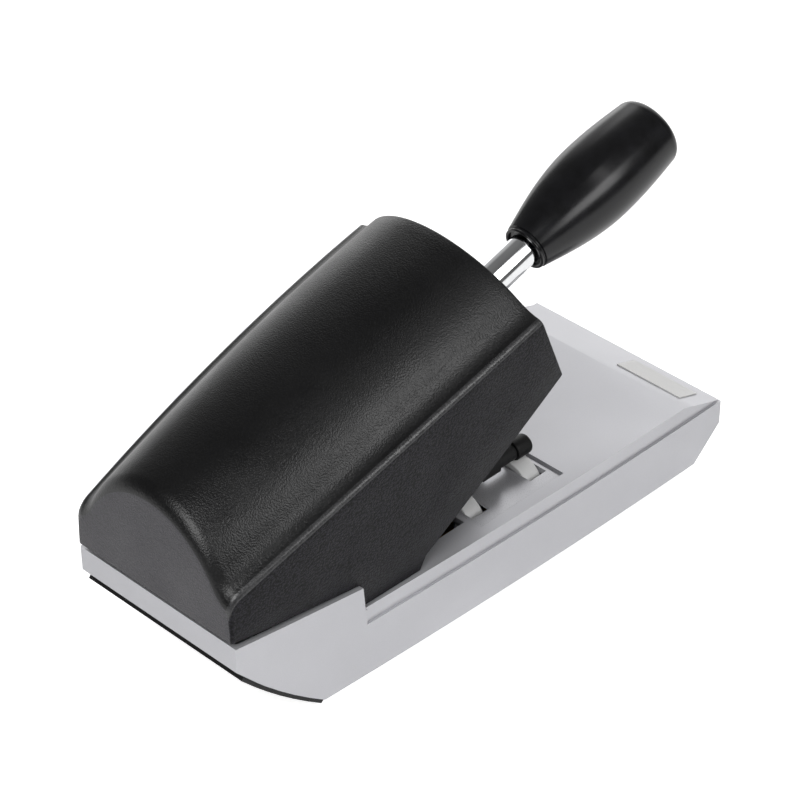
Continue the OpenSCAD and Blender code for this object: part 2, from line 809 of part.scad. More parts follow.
module die_plate() {
    color(steel)
        difference() {
            block([-die_w / 2, punch_y - die_l / 2, die_z], [die_w / 2, punch_y + die_l / 2, paper_z]);
            at_pins()
                translate([0, 0, die_z - cut])
                    cylinder(d = pin_d + 4 * run_gap, h = die_t + 2 * cut, $fn = 24);
            both_sides(die_screw_places()) {
                screw_hole(die_z - cut, die_t + 2 * cut);
                translate([0, 0, paper_z - 2])
                    cylinder(d = 5, h = 2 + cut);
            }
        }
}

module die_screws() {
    color(steel)
        both_sides(die_screw_places())
            difference() {
                union() {
                    translate([0, 0, paper_z - 2])
                        cylinder(d = 5 - 4 * run_gap, h = 1.8);
                    translate([0, 0, die_z - 6])
                        cylinder(d = screw_d, h = die_t + 5);
                }
                translate([-3, -0.4, paper_z - 0.9])
                    cube([6, 0.8, 2]);
            }
}

module feed_bearings() {
    color(brass)
        for (y = bearing_ys)
            difference() {
                block([-feed_x - bearing_half, y - bearing_w / 2, arm_low],
                    [-feed_x + bearing_half, y + bearing_w / 2, wheel_z + bearing_half]);
                bar_y_at(-feed_x, y - bearing_w, wheel_z, 2 * bearing_w, feed_shaft_d / 2 + run_gap);
            }
}

module pinch_bracket() {
    arm_half = 6;
    color(black)
        difference() {
            block([-feed_x - 5, punch_y - arm_half, roller_z - 2], [-cheek_out, punch_y + arm_half, roller_z + 11]);
            bar_y_at(-feed_x, punch_y - arm_half - cut, roller_z, 2 * arm_half + 2 * cut, pinch_bar_d / 2 + run_gap);
            block([-feed_x - 6, punch_y - arm_half - cut, roller_z + 6.5], [-cheek_out - 5, punch_y + arm_half + cut, roller_z + 12]);
        }
}

module feed_rod_guides() {
    color(steel)
        for (z = [bar_low + 24, tail_z - 16])
            difference() {
                block([bar_x - 3, tail_y - bar_half - 3, z], [-cheek_out, tail_y + bar_half + 3, z + 5]);
                block([bar_x - slip, tail_y - bar_half - slip, z - cut],
                    [bar_x + bar_t + slip, tail_y + bar_half + slip, z + 5 + cut]);
            }
}

// Centre line of the spring: straight leads on its axis, with the coil between them
function spring_point(t) =
    let (low = spring_low + spring_lead, high = spring_high - spring_lead,
        grow = min(1, min(t, spring_turns - t) / 0.75))
    [spring_r * grow * cos(360 * t), tail_y + spring_r * grow * sin(360 * t),
     low + (high - low) * t / spring_turns];
spring_path = concat(
    [[0, tail_y, spring_low]],
    [for (i = [0:spring_turns * spring_rings]) spring_point(i / spring_rings)],
    [[0, tail_y, spring_high]]);
function unit(v) = v / norm(v);
function path_ring(k) =
    let (n = len(spring_path), p = spring_path[k],
        d = unit(spring_path[min(n - 1, k + 1)] - spring_path[max(0, k - 1)]),
        side = unit(cross(d, [cos(40), sin(40), 0.3])), up = cross(side, d))
    [for (i = [0:spring_sides - 1])
        let (a = -360 * i / spring_sides)
        p + spring_wire / 2 * (cos(a) * side + sin(a) * up)];
spring_gap = min([for (i = [0:len(spring_path) - 1]) for (j = [i + 5:1:len(spring_path) - 1])
    norm(spring_path[i] - spring_path[j])]) - spring_wire;
echo(spring_gap = spring_gap);

module return_spring() {
    color(steel)
        ring_skin([for (k = [0:len(spring_path) - 1]) path_ring(k)]);
}

// Rows of the cover from the rear face to the front edge: place of the lower edge, lean and roll
cover_rows = concat(
    [for (k = [0:roll_steps])
        let (b = 90 * k / roll_steps, y = cover_rear_y - roll_r * (1 - cos(b)))
        [y, foot_z(y), 0, roll_r * (1 - sin(b))]],
    [for (i = [1:rim_steps])
        let (y = cover_rear_y - roll_r + (step_y - cover_rear_y + roll_r) * i / rim_steps)
        [y, foot_z(y), 0, 0]],
    [[step_y - step_slant - seam, table_h + seam, 0, 0],
     [throat_back, table_h + seam, 0, 0], [throat_knee[0], throat_knee[1], 0, 0]],
    [for (i = [1:throat_steps])
        let (f = i / throat_steps, p = throat_knee + f * ([face_y, face_z] - throat_knee))
        [p[0], p[1], f * face_k, 0]]);
inner_rows = [for (k = [0:len(cover_rows) - 1])
    let (y = cover_rear_y - cover_wall - roll_r * k / roll_steps)
    k > roll_steps ? cover_rows[k] : [y, foot_z(y), 0, 0]];
function cover_ring(row, side, top) =
    let (w = wall_hw(row[0], row[1]) - side - row[3] * side_roll)
    concat([[w, row[0], row[1]]],
        [for (u = arch_us) cover_point(u, row, side + row[3] * side_roll, top + row[3])],
        [[-w, row[0], row[1]]]);

module head_cover() {
    outer = [for (r = cover_rows) cover_ring(r, 0, 0)];
    inner = [for (r = inner_rows) cover_ring(r, cover_wall, cover_top)];
    n = len(outer[0]);
    rows = len(outer);
    m = rows * n;
    last = m - n;
    color(black)
        polyhedron(
            points = concat([for (r = outer) each r], [for (r = inner) each r]),
            faces = concat(
                [[for (i = [0:n - 1]) n - 1 - i]],
                [[for (i = [0:n - 1]) m + i]],
                [for (k = [0:rows - 2]) for (i = [0:n - 2]) let (a = k * n + i, b = a + n) each [
                    [a, a + 1, b], [a + 1, b + 1, b],
                    [m + b, m + a + 1, m + a], [m + b, m + b + 1, m + a + 1]]],
                [for (i = [0:n - 2]) let (a = last + i) each [
                    [a, a + 1, m + a], [a + 1, m + a + 1, m + a]]],
                [for (k = [0:rows - 2]) let (a = k * n, b = a + n, c = a + n - 1, d = b + n - 1) each [
                    [a, b, m + a], [b, m + b, m + a],
                    [d, c, m + d], [c, m + c, m + d]]],
                [[n - 1, 0, m], [n - 1, m, m + n - 1]]));
}

// Posts in the cover that take its screws, each with a web to the side wall
web_t = 3;
web_h = 8;
cover_screw_len = 11;
module cover_posts() {
    color(black)
        difference() {
            for (p = cover_bosses)
                for (s = [-1, 1])
                    sided(s) {
                        web_z = rim_z(max(step_y, p[1])) + 1;
                        web_y = p[1] + web_t / 2;
                        wall_x = min(wall_hw(web_y, web_z), wall_hw(web_y, web_z + web_h)) - cover_wall;
                        translate([p[0], p[1], table_h + seam / 2])
                            cylinder(r = cover_boss_r, h = web_z + web_h - table_h - seam / 2);
                        block([p[0], p[1] - web_t / 2, web_z], [wall_x - run_gap, web_y, web_z + web_h]);
                    }
            both_sides(cover_bosses)
                screw_hole(table_h - cut, cover_screw_len);
        }
}

// Outline of the front panel in its leaning plane, taken where its back meets the cover's inner wall
panel_t = 2.5;
function panel_outline() =
    let (deep = panel_set + panel_t, row = [face_y + deep / cos(face_lean), face_z, face_k, 0])
    concat([[wall_hw(row[0], face_z) - cover_wall - 2 * run_gap, 0]],
        [for (u = arch_us)
            let (p = cover_point(u, row, cover_wall + 2 * run_gap, cover_top + slip))
            [p[0], (p[2] - face_z + deep * sin(face_lean)) / cos(face_lean)]],
        [[-wall_hw(row[0], face_z) + cover_wall + 2 * run_gap, 0]]);

module front_panel() {
    slot_half_w = hub_w / 2 + 1;
    lever_s = (pivot_y - face_y + (face_z - pivot_z) * face_k) / (cos(lever_rest) + face_k * sin(lever_rest));
    lever_q = (pivot_z + lever_s * sin(lever_rest) - face_z) / cos(face_lean);
    color(black)
        translate([0, face_y, face_z])
            rotate([90 - face_lean, 0, 0])
                translate([0, 0, -panel_set - panel_t])
                    linear_extrude(panel_t)
                        difference() {
                            polygon(panel_outline());
                            translate([-slot_half_w, -cut])
                                square([2 * slot_half_w, lever_q + hub_h / 2 + 3 + cut]);
                        }
}

module cover_screws() {
    color(steel)
        both_sides(cover_bosses)
            screw_up(deck_z - screw_head_t, cover_screw_len);
}

// Bare plate on the front bevel, left of the middle
module blank_plate() {
    blank_t = 0.6;
    blank_w = base_front_w / 3;
    blank_l = norm([bevel_run, bevel_drop]) / 2;
    color(pale)
        translate([-blank_w * 1.25, front_y + bevel_run / 2, table_h - bevel_drop / 2])
            rotate([atan(bevel_drop / bevel_run), 0, 0])
                translate([0, -blank_l / 2, 0])
                    cube([blank_w, blank_l, blank_t]);
}

module lever_hub() {
    tail_t = 12;
    hook_half = 4;
    color(steel)
        in_lever()
            difference() {
                union() {
                    bar_x_at(-hub_w / 2, hub_w, pivot_boss_r, 0, 0);
                    block([-hub_w / 2, -hub_end, -hub_h / 2], [hub_w / 2, 0, hub_h / 2]);
                    block([-hub_w / 2, 0, -tail_t / 2], [hub_w / 2, tail + tail_pin_d, tail_t / 2]);
                }
                bar_x_at(-hub_w, 2 * hub_w, pivot_d / 2 + bush_wall + run_gap, 0, 0);
                block([-tongue_half - slip, -crank - 10, -hub_h], [tongue_half + slip, -crank + 10, hub_h]);
                block([-hook_half, pivot_boss_r, -tail_t], [hook_half, tail + tail_t, tail_t]);
                bar_x_at(-hub_w, 2 * hub_w, crank_pin_d / 2 + run_gap, -crank, 0);
                bar_x_at(-hub_w, 2 * hub_w, tail_pin_d / 2 + run_gap, tail, 0);
                bar_y_at(0, -hub_end - cut, 0, shank_len + 1 + cut, shank_d / 2 + run_gap);
            }
}

module hub_bush() {
    color(brass)
        difference() {
            bar_x_at(-hub_w / 2, hub_w, pivot_d / 2 + bush_wall, pivot_y, pivot_z);
            bar_x_at(-hub_w, 2 * hub_w, pivot_d / 2 + run_gap, pivot_y, pivot_z);
        }
}

module crank_pin() {
    color(steel)
        in_lever()
            bar_x_at(-hub_w / 2, hub_w, crank_pin_d / 2, -crank, 0);
}

module tail_pin() {
    color(steel)
        in_lever()
            bar_x_at(bar_x - 1, hub_w / 2 - bar_x + 1, tail_pin_d / 2, tail, 0);
}

module lever_rod() {
    tip = grip_start + grip_bore_depth;
    color(chrome)
        in_lever() {
            bar_y_at(0, -grip_start - 1, 0, grip_start + 1 - hub_end, rod_d / 2);
            bar_y_at(0, -hub_end - 1, 0, shank_len + 1, shank_d / 2);
            bar_y_at(0, -tip + 1, 0, tip - grip_start - 1, grip_bore_d / 2 - run_gap);
        }
}

// Half outline of the grip: neck, belly, tip with a round corner and a slightly sunk neck face
function grip_radius(t) = t < grip_belly
    ? (grip_neck_d + (grip_d - grip_neck_d) * sin(90 * t / grip_belly)) / 2
    : (grip_d - (grip_d - grip_tip_d) * (1 - cos(90 * (t - grip_belly) / (1 - grip_belly)))) / 2;
function grip_outline() =
    let (steps = 28, body = grip_len - grip_corner)
    concat(
        [[0, grip_neck_lip], [rod_d / 2 + 1.5, grip_neck_lip], [rod_d / 2 + 1.5, 0]],
        [for (i = [0:steps]) [grip_radius(i / steps * body / grip_len), i / steps * body]],
        [for (i = [1:8])
            let (a = 90 * i / 8, r = grip_radius(body / grip_len))
            [r - grip_corner + grip_corner * cos(a), body + grip_corner * sin(a)]],
        [[0, grip_len]]);

module lever_grip() {
    color(black)
        in_lever()
            translate([0, -grip_start, 0])
                rotate([90, 0, 0])
                    difference() {
                        rotate_extrude($fn = 96)
                            polygon(grip_outline());
                        translate([0, 0, -cut])
                            cylinder(r = grip_bore_d / 2, h = grip_bore_depth + cut);
                        translate([0, 0, -cut])
                            cylinder(r = rod_d / 2 + run_gap, h = grip_neck_lip + cut);
                    }
}

module ram() {
    slot_r = crank_pin_d / 2 + slip / 2;
    slot_run = crank * (1 - cos(lever_rest)) + slip / 2;
    color(steel)
        difference() {
            union() {
                block([-ram_half, punch_y - ram_half, foot_z + foot_t], [ram_half, punch_y + ram_half, shoulder_z]);
                block([-tongue_half, punch_y - tongue_y, shoulder_z - cut],
                    [tongue_half, punch_y + tongue_y, crank_z + 5.6]);
            }
            for (d = [0, -slot_run])
                bar_x_at(-tongue_half - cut, 2 * tongue_half + 2 * cut, slot_r, punch_y + d, crank_z);
            block([-tongue_half - cut, punch_y - slot_run, crank_z - slot_r],
                [tongue_half + cut, punch_y, crank_z + slot_r]);
        }
}

foot_right = 14;
module ram_foot() {
    color(steel)
        difference() {
            block([-cheek_in + slip, punch_y - 8.5, foot_z], [dial_x + foot_right, punch_y + 8.5, foot_z + foot_t]);
            translate([dial_x, punch_y, foot_z - cut])
                cylinder(d = spindle_d + 2 * run_gap, h = foot_t + 2 * cut);
            translate([dial_x + click_r, punch_y, foot_z - cut])
                cylinder(d = 3 + 2 * run_gap, h = foot_t + 2 * cut);
        }
}

module dial_spindle() {
    color(steel)
        translate([dial_x, punch_y, 0]) {
            translate([0, 0, dial_z - slip - 1.2])
                cylinder(d = 9, h = 1.2);
            translate([0, 0, dial_z - slip])
                cylinder(d = spindle_d, h = foot_z + foot_t - dial_z + slip);
        }
}

module click_plunger() {
    color(steel)
        translate([dial_x + click_r, punch_y, foot_z]) {
            cylinder(d = 3, h = foot_t + 2);
            translate([0, 0, foot_t])
                cylinder(d = 5, h = 2);
        }
}

module pin_lifter() {
    post_x = -cheek_in + slip + 1.6;
    color(steel)
        difference() {
            union() {
                block([-cheek_in + slip, punch_y - 8.5, lifter_z], [5, punch_y + 8.5, lifter_z + lifter_t]);
                for (s = [-1, 1])
                    translate([post_x, punch_y + s * 6.5, lifter_z])
                        cylinder(d = 2.6, h = foot_z - lifter_z);
            }
            at_pins()
                translate([0, 0, lifter_z - cut])
                    cylinder(d = pin_d + 2 * run_gap, h = lifter_t + 2 * cut, $fn = 24);
        }
}

module punch_pins() {
    color(chrome)
        at_pins() {
            translate([0, 0, strip_z + 0.5])
                cylinder(d = pin_d, h = head_z - strip_z, $fn = 24);
            translate([0, 0, head_z])
                cylinder(d = pin_head_d, h = head_t, $fn = 24);
        }
}

// Code of the dial: a pin that meets a hole stays up, and the others are driven
function is_hole(i, c, r) = (i * 5 + c * 3 + r * 7 + 40) % 4 == 0;

module character_dial() {
    color(black)
        translate([dial_x, punch_y, dial_z])
            difference() {
                cylinder(d = dial_d, h = dial_t, $fn = 96);
                translate([0, 0, -cut])
                    cylinder(d = spindle_d + 2 * run_gap, h = dial_t + 2 * cut);
                for (i = [0:dial_count - 1])
                    rotate([0, 0, 360 * i / dial_count]) {
                        translate([click_r, 0, dial_t - 0.6])
                            cylinder(d = 2.4, h = 1, $fn = 24);
                        rotate([0, 0, 180 / dial_count])
                            translate([dial_d / 2 + 0.8, 0, -cut])
                                cylinder(d = 3.4, h = dial_t + 2 * cut, $fn = 24);
                        for (c = [-pin_cols:pin_cols])
                            for (r = [-pin_rows:pin_rows])
                                if (is_hole(i, c, r))
                                    translate([-dial_x + c * pin_pitch, r * pin_pitch, -cut])
                                        cylinder(d = pin_head_d, h = dial_t / 2 + cut, $fn = 24);
                    }
            }
}

feed_shaft_y = [wheel_ys[0] - wheel_w / 2 - 1, tail_y + 5];
module feed_shaft() {
    color(steel)
        bar_y_at(-feed_x, feed_shaft_y[0], wheel_z, feed_shaft_y[1] - feed_shaft_y[0], feed_shaft_d / 2);
}

// Feed wheel, hollowed on both sides between hub and rim
module feed_wheel(y) {
    web = 3;
    color(pale)
        difference() {
            bar_y_at(-feed_x, y - wheel_w / 2, wheel_z, wheel_w, wheel_d / 2);
            bar_y_at(-feed_x, y - wheel_w, wheel_z, 2 * wheel_w, feed_shaft_d / 2 + run_gap);
            for (s = [0, 1])
                difference() {
                    bar_y_at(-feed_x, y - wheel_w / 2 - cut + s * ((wheel_w + web) / 2 + cut), wheel_z,
                        (wheel_w - web) / 2 + cut, wheel_d / 2 - 3);
                    bar_y_at(-feed_x, y - wheel_w, wheel_z, 2 * wheel_w, feed_shaft_d / 2 + 2.5);
                }
        }
}

module feed_wheel_front() {
    feed_wheel(wheel_ys[0]);
}

module feed_wheel_rear() {
    feed_wheel(wheel_ys[1]);
}

module ratchet_wheel() {
    root = ratchet_r - 1.4;
    step = 360 / ratchet_count;
    color(steel)
        translate([-feed_x, tail_y + ratchet_t / 2, wheel_z])
            rotate([90, 0, 0])
                linear_extrude(ratchet_t)
                    difference() {
                        polygon([for (i = [0:ratchet_count - 1]) each [
                            ratchet_r * [cos(step * i), sin(step * i)],
                            root * [cos(step * (i + 0.15)), sin(step * (i + 0.15))]]]);
                        circle(r = feed_shaft_d / 2 + run_gap);
                    }
}

module pinch_bar() {
    y0 = roller_ys[0] + roller_w / 2;
    y1 = roller_ys[1] - roller_w / 2;
    spigot = 4;
    color(black) {
        bar_y_at(-feed_x, y0, roller_z, y1 - y0, pinch_bar_d / 2);
        bar_y_at(-feed_x, y0 - roller_w + 1.5, roller_z, y1 - y0 + 2 * roller_w - 3, spigot / 2);
    }
}

// Roller with rounded ends
module pinch_roller(y) {
    corner = 1.2;
    r = roller_d / 2;
    h = roller_w / 2;
    color(rubber)
        translate([-feed_x, y, roller_z])
            rotate([-90, 0, 0])
                difference() {
                    rotate_extrude()
                        polygon(concat(
                            [[0, -h]],
                            [for (i = [0:4]) [r - corner + corner * sin(22.5 * i), -h + corner - corner * cos(22.5 * i)]],
                            [for (i = [0:4]) [r - corner + corner * cos(22.5 * i), h - corner + corner * sin(22.5 * i)]],
                            [[0, h]]));
                    translate([0, 0, y < punch_y ? -h + 1.5 - run_gap : -h - cut])
                        cylinder(r = 2 + run_gap, h = roller_w - 1.5 + run_gap + cut);
                }
}

module pinch_roller_front() {
    pinch_roller(roller_ys[0]);
}

module pinch_roller_rear() {
    pinch_roller(roller_ys[1]);
}

module feed_rod() {
    slot_r = tail_pin_d / 2 + slip / 2;
    slot_run = tail * (1 - cos(lever_rest)) + slip / 2;
    ear = (2 * bar_half - ratchet_t - 2 * slip) / 2 + 0.8;
    ear_x = pawl_x - 2.2;
    color(steel)
        difference() {
            union() {
                block([bar_x, tail_y - bar_half, bar_low], [bar_x + bar_t, tail_y + bar_half, bar_top]);
                for (s = [-1, 1])
                    translate([0, tail_y + s * (ratchet_t / 2 + slip) + (s < 0 ? -ear : 0), 0])
                        block([ear_x, 0, bar_low], [bar_x + 0.5, ear, bar_low + 8]);
            }
            for (d = [0, slot_run])
                bar_x_at(bar_x - cut, bar_t + 2 * cut, slot_r, tail_y + d, tail_z);
            block([bar_x - cut, tail_y, tail_z - slot_r], [bar_x + bar_t + cut, tail_y + slot_run, tail_z + slot_r]);
            bar_y_at(pawl_x, tail_y - 2 * bar_half, pawl_z, 4 * bar_half, pawl_pin_d / 2 + run_gap);
        }
}

module pawl_pin() {
    reach = ratchet_t / 2 + slip + (2 * bar_half - ratchet_t - 2 * slip) / 2 + 0.8;
    color(steel)
        bar_y_at(pawl_x, tail_y - reach, pawl_z, 2 * reach, pawl_pin_d / 2);
}

module feed_pawl() {
    half = ratchet_t / 2;
    color(steel)
        difference() {
            union() {
                bar_y_at(pawl_x, tail_y - half, pawl_z, 2 * half, 2);
                block([pawl_x - 1.1, tail_y - half, wheel_z - 1], [pawl_x + 1.1, tail_y + half, pawl_z]);
            }
            bar_y_at(pawl_x, tail_y - half - cut, pawl_z, 2 * half + 2 * cut, pawl_pin_d / 2 + run_gap);
        }
}

module chad_hatch() {
    top = pan_z - 0.2;
    color(black) {
        block([-hatch_half, hatch_y, top - hatch_t], [hatch_half, hatch_y + hatch_len, top]);
    }
}

placed() base_shell();
placed() feed_plate();
placed() bottom_pan();
placed() rubber_feet();
placed() pan_screws();
placed() bed_plate();
placed() bed_screws();
placed() left_cheek();
placed() right_cheek();
placed() cheek_screws();
placed() tie_bars();
placed() pivot_shaft();
placed() shaft_clips();
placed() ram_guide();
placed() guide_screws();
placed() stripper_block();
placed() stripper_screws();
placed() die_plate();
placed() die_screws();
placed() feed_bearings();
placed() pinch_bracket();
placed() feed_rod_guides();
placed() return_spring();
placed() head_cover();
placed() cover_posts();
placed() front_panel();
placed() cover_screws();
placed() blank_plate();
placed() lever_hub();
placed() hub_bush();
placed() crank_pin();
placed() tail_pin();
placed() lever_rod();
placed() lever_grip();
placed() ram();
placed() ram_foot();
placed() dial_spindle();
placed() click_plunger();
placed() pin_lifter();
placed() punch_pins();
placed() character_dial();
placed() feed_shaft();
placed() feed_wheel_front();
placed() feed_wheel_rear();
placed() ratchet_wheel();
placed() pinch_bar();
placed() pinch_roller_front();
placed() pinch_roller_rear();
placed() feed_rod();
placed() pawl_pin();
placed() feed_pawl();
placed() chad_hatch();
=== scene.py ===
import json
import math

import bmesh
import bpy
import numpy as np
from mathutils import Matrix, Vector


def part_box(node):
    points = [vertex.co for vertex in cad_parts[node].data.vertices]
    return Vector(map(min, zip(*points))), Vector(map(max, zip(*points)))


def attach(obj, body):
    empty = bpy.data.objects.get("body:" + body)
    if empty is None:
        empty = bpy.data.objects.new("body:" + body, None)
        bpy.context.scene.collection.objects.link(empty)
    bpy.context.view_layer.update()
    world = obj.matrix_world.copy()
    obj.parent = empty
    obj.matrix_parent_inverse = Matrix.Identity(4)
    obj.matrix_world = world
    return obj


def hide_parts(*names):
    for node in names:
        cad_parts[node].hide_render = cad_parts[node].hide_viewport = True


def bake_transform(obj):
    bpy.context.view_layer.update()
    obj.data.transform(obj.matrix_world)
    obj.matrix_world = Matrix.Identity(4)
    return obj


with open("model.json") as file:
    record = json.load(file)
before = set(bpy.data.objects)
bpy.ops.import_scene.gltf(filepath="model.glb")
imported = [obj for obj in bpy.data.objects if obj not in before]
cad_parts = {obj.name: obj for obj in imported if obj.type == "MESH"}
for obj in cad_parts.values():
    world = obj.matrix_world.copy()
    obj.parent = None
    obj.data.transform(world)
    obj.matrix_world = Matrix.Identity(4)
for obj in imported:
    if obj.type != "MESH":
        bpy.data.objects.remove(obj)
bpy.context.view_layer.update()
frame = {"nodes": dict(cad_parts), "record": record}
record = frame["record"]
nodes = frame["nodes"]
slotOf = {part["node"]: part["material_slot"] for part in record["subparts"]}
bodyOf = {node: body for body, members in record["behaviour"]["bodies"].items() for node in members}
mm = 0.001
weldGap = 0.002 * mm  # points of the CAD meshes nearer than this are one

# base, in millimetres: half widths at its ends and the bow between them, the rounds of its outer edges,
# and how near to the outside, how long, steep and sharp (in degrees) an edge has to be to get one
base = {"length": 310.0, "rearHalf": 50.0, "frontHalf": 60.0, "bow": 3.0, "tableZ": 37.5,
        "edgeRound": 0.6, "cornerRound": 1.6, "sideBand": 1.8, "endBand": 1.1, "cornerBand": 5.0,
        "shortEdge": 3.0, "uprightRise": 8.0, "flatAngle": 0.1, "edgeAngle": 20.0, "segments": 4}
baseEnd = base["length"] / 2

# the pieces are drawn from the middle of the base and its lower edge, then moved to the CAD's place
baseLow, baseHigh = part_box("base_shell")
shift = np.array([0.0, baseHigh[1] - baseEnd * mm, baseLow[2]])
print("frame loaded,", len(nodes), "nodes")


# sRGB hex to linear light: c / 12.92 near black, else ((c + 0.055) / 1.055) to the power 2.4
def linear(hexColour):
    parts = [int(hexColour[i:i + 2], 16) / 255 for i in (1, 3, 5)]
    return tuple(c / 12.92 if c <= 0.04045 else ((c + 0.055) / 1.055) ** 2.4 for c in parts) + (1,)


def grey(value):
    return (value, value, value, 1)


# a node with its settings; a socket takes a node's first output, another output or a value, a ramp its stops
def addNode(tree, kind, sockets, stops=(), **settings):
    node = tree.nodes.new("ShaderNode" + kind)
    for key, value in settings.items():
        setattr(node, key, value)
    for socket, value in sockets.items():
        if isinstance(value, bpy.types.Node):
            value = value.outputs[0]
        if isinstance(value, bpy.types.NodeSocket):
            tree.links.new(value, node.inputs[socket])
        else:
            node.inputs[socket].default_value = value
    for _ in range(len(stops) - 2):
        node.color_ramp.elements.new(0.5)
    for number, (at, colour) in enumerate(stops):
        node.color_ramp.elements[number].position = at
        node.color_ramp.elements[number].color = colour
    return node


def newMaterial(name):
    material = bpy.data.materials.new(name)
    material.use_nodes = True
    tree = material.node_tree
    tree.nodes.clear()
    return material, tree, addNode(tree, "TexCoord", {}).outputs["Object"]


# sprayed lacquer, turned acetal or foil: an even satin with a very fine tooth and faint clouding,
# and on the lacquer a soft metal sheen
def satinSkin(name, low, high, rough, metallic=0.0):
    material, tree, place = newMaterial(name)
    cloud = addNode(tree, "TexNoise", {"Vector": place, "Scale": 1 / (60 * mm), "Detail": 3})
    tooth = addNode(tree, "TexNoise", {"Vector": place, "Scale": 1 / (0.35 * mm), "Detail": 2})
    tone = addNode(tree, "ValToRGB", {"Fac": cloud}, [(0.35, linear(low)), (0.65, linear(high))])
    fleck = addNode(tree, "ValToRGB", {"Fac": tooth}, [(0.3, grey(0.93)), (0.7, grey(1.0))])
    colour = addNode(tree, "Mix", {"Factor": 1.0, "A": tone, "B": fleck},
                     data_type="RGBA", blend_type="MULTIPLY")
    gloss = addNode(tree, "ValToRGB", {"Fac": tooth}, [(0.3, grey(rough - 0.05)), (0.7, grey(rough + 0.05))])
    teeth = addNode(tree, "Bump", {"Height": tooth, "Strength": 0.12, "Distance": 0.05 * mm})
    shader = addNode(tree, "BsdfPrincipled", {"Base Color": colour.outputs["Result"], "Roughness": gloss,
                                              "Normal": teeth, "IOR": 1.48, "Metallic": metallic})
    addNode(tree, "OutputMaterial", {"Surface": shader})
    return material


# black plastic from an etched leather-grain mould: small pebbles with soft valleys that break the highlight;
# its colour follows the pebbles' height, with painted shade in the valleys and painted light on the crests
def leatherGrain(name, shadedValley, litCrest, rough, shine, pebble, depth):
    material, tree, place = newMaterial(name)
    warp = addNode(tree, "TexNoise", {"Vector": place, "Scale": 1 / (4 * pebble), "Detail": 2})
    bent = addNode(tree, "VectorMath", {0: warp.outputs["Color"], "Scale": 1.2 * pebble}, operation="SCALE")
    spot = addNode(tree, "VectorMath", {0: place, 1: bent}, operation="ADD")
    cell = addNode(tree, "TexVoronoi", {"Vector": spot, "Scale": 1 / pebble, "Smoothness": 0.6},
                   feature="SMOOTH_F1")
    hill = addNode(tree, "ValToRGB", {"Fac": cell.outputs["Distance"]}, [(0.0, grey(1.0)), (0.75, grey(0.0))])
    fine = addNode(tree, "TexNoise", {"Vector": place, "Scale": 1 / (0.3 * mm), "Detail": 2})
    height = addNode(tree, "Math", {0: hill, 1: 3.0, 2: fine}, operation="MULTIPLY_ADD")
    wear = addNode(tree, "TexNoise", {"Vector": place, "Scale": 1 / (25 * mm), "Detail": 3})
    # painted shade and light: darker in the valleys, paler on the crests
    tone = addNode(tree, "ValToRGB", {"Fac": hill}, [(0.1, linear(shadedValley)), (0.9, linear(litCrest))])
    gloss = addNode(tree, "ValToRGB", {"Fac": wear}, [(0.3, grey(rough - 0.04)), (0.7, grey(rough + 0.04))])
    grain = addNode(tree, "Bump", {"Height": height, "Strength": 0.35, "Distance": depth})
    shader = addNode(tree, "BsdfPrincipled", {"Base Color": tone, "Roughness": gloss, "Normal": grain,
                                              "IOR": 1.5, "Specular IOR Level": shine})
    addNode(tree, "OutputMaterial", {"Surface": shader})
    return material


# black phenolic polished by hand wear: a deep gloss with faint swirls and a little dust dulling
def polishedPhenolic(name, low, rough):
    material, tree, place = newMaterial(name)
    swirl = addNode(tree, "TexNoise", {"Vector": place, "Scale": 1 / (9 * mm), "Detail": 4, "Roughness": 0.6})
    fine = addNode(tree, "TexNoise", {"Vector": place, "Scale": 1 / (2 * mm), "Detail": 2})
    tone = addNode(tree, "ValToRGB", {"Fac": swirl}, [(0.3, linear(low)), (0.8, linear("#17171a"))])
    gloss = addNode(tree, "ValToRGB", {"Fac": swirl}, [(0.3, grey(rough)), (0.75, grey(rough + 0.05))])
    ripple = addNode(tree, "Bump", {"Height": fine, "Strength": 0.015, "Distance": 0.05 * mm})
    shader = addNode(tree, "BsdfPrincipled", {"Base Color": tone, "Roughness": gloss, "Normal": ripple,
                                              "Specular IOR Level": 0.38})
    addNode(tree, "OutputMaterial", {"Surface": shader})
    return material


# moulded rubber: matt, slightly bloomed, with a faint ground surface
def mouldedRubber(name, low, high):
    material, tree, place = newMaterial(name)
    bloom = addNode(tree, "TexNoise", {"Vector": place, "Scale": 1 / (4 * mm), "Detail": 4, "Roughness": 0.6})
    fine = addNode(tree, "TexNoise", {"Vector": place, "Scale": 1 / (0.4 * mm), "Detail": 2})
    tone = addNode(tree, "ValToRGB", {"Fac": bloom}, [(0.3, linear(low)), (0.8, linear(high))])
    gloss = addNode(tree, "ValToRGB", {"Fac": bloom}, [(0.3, grey(0.42)), (0.8, grey(0.58))])
    ground = addNode(tree, "Bump", {"Height": fine, "Strength": 0.1, "Distance": 0.05 * mm})
    shader = addNode(tree, "BsdfPrincipled", {"Base Color": tone, "Roughness": gloss, "Normal": ground,
                                              "Specular IOR Level": 0.28})
    addNode(tree, "OutputMaterial", {"Surface": shader})
    return material


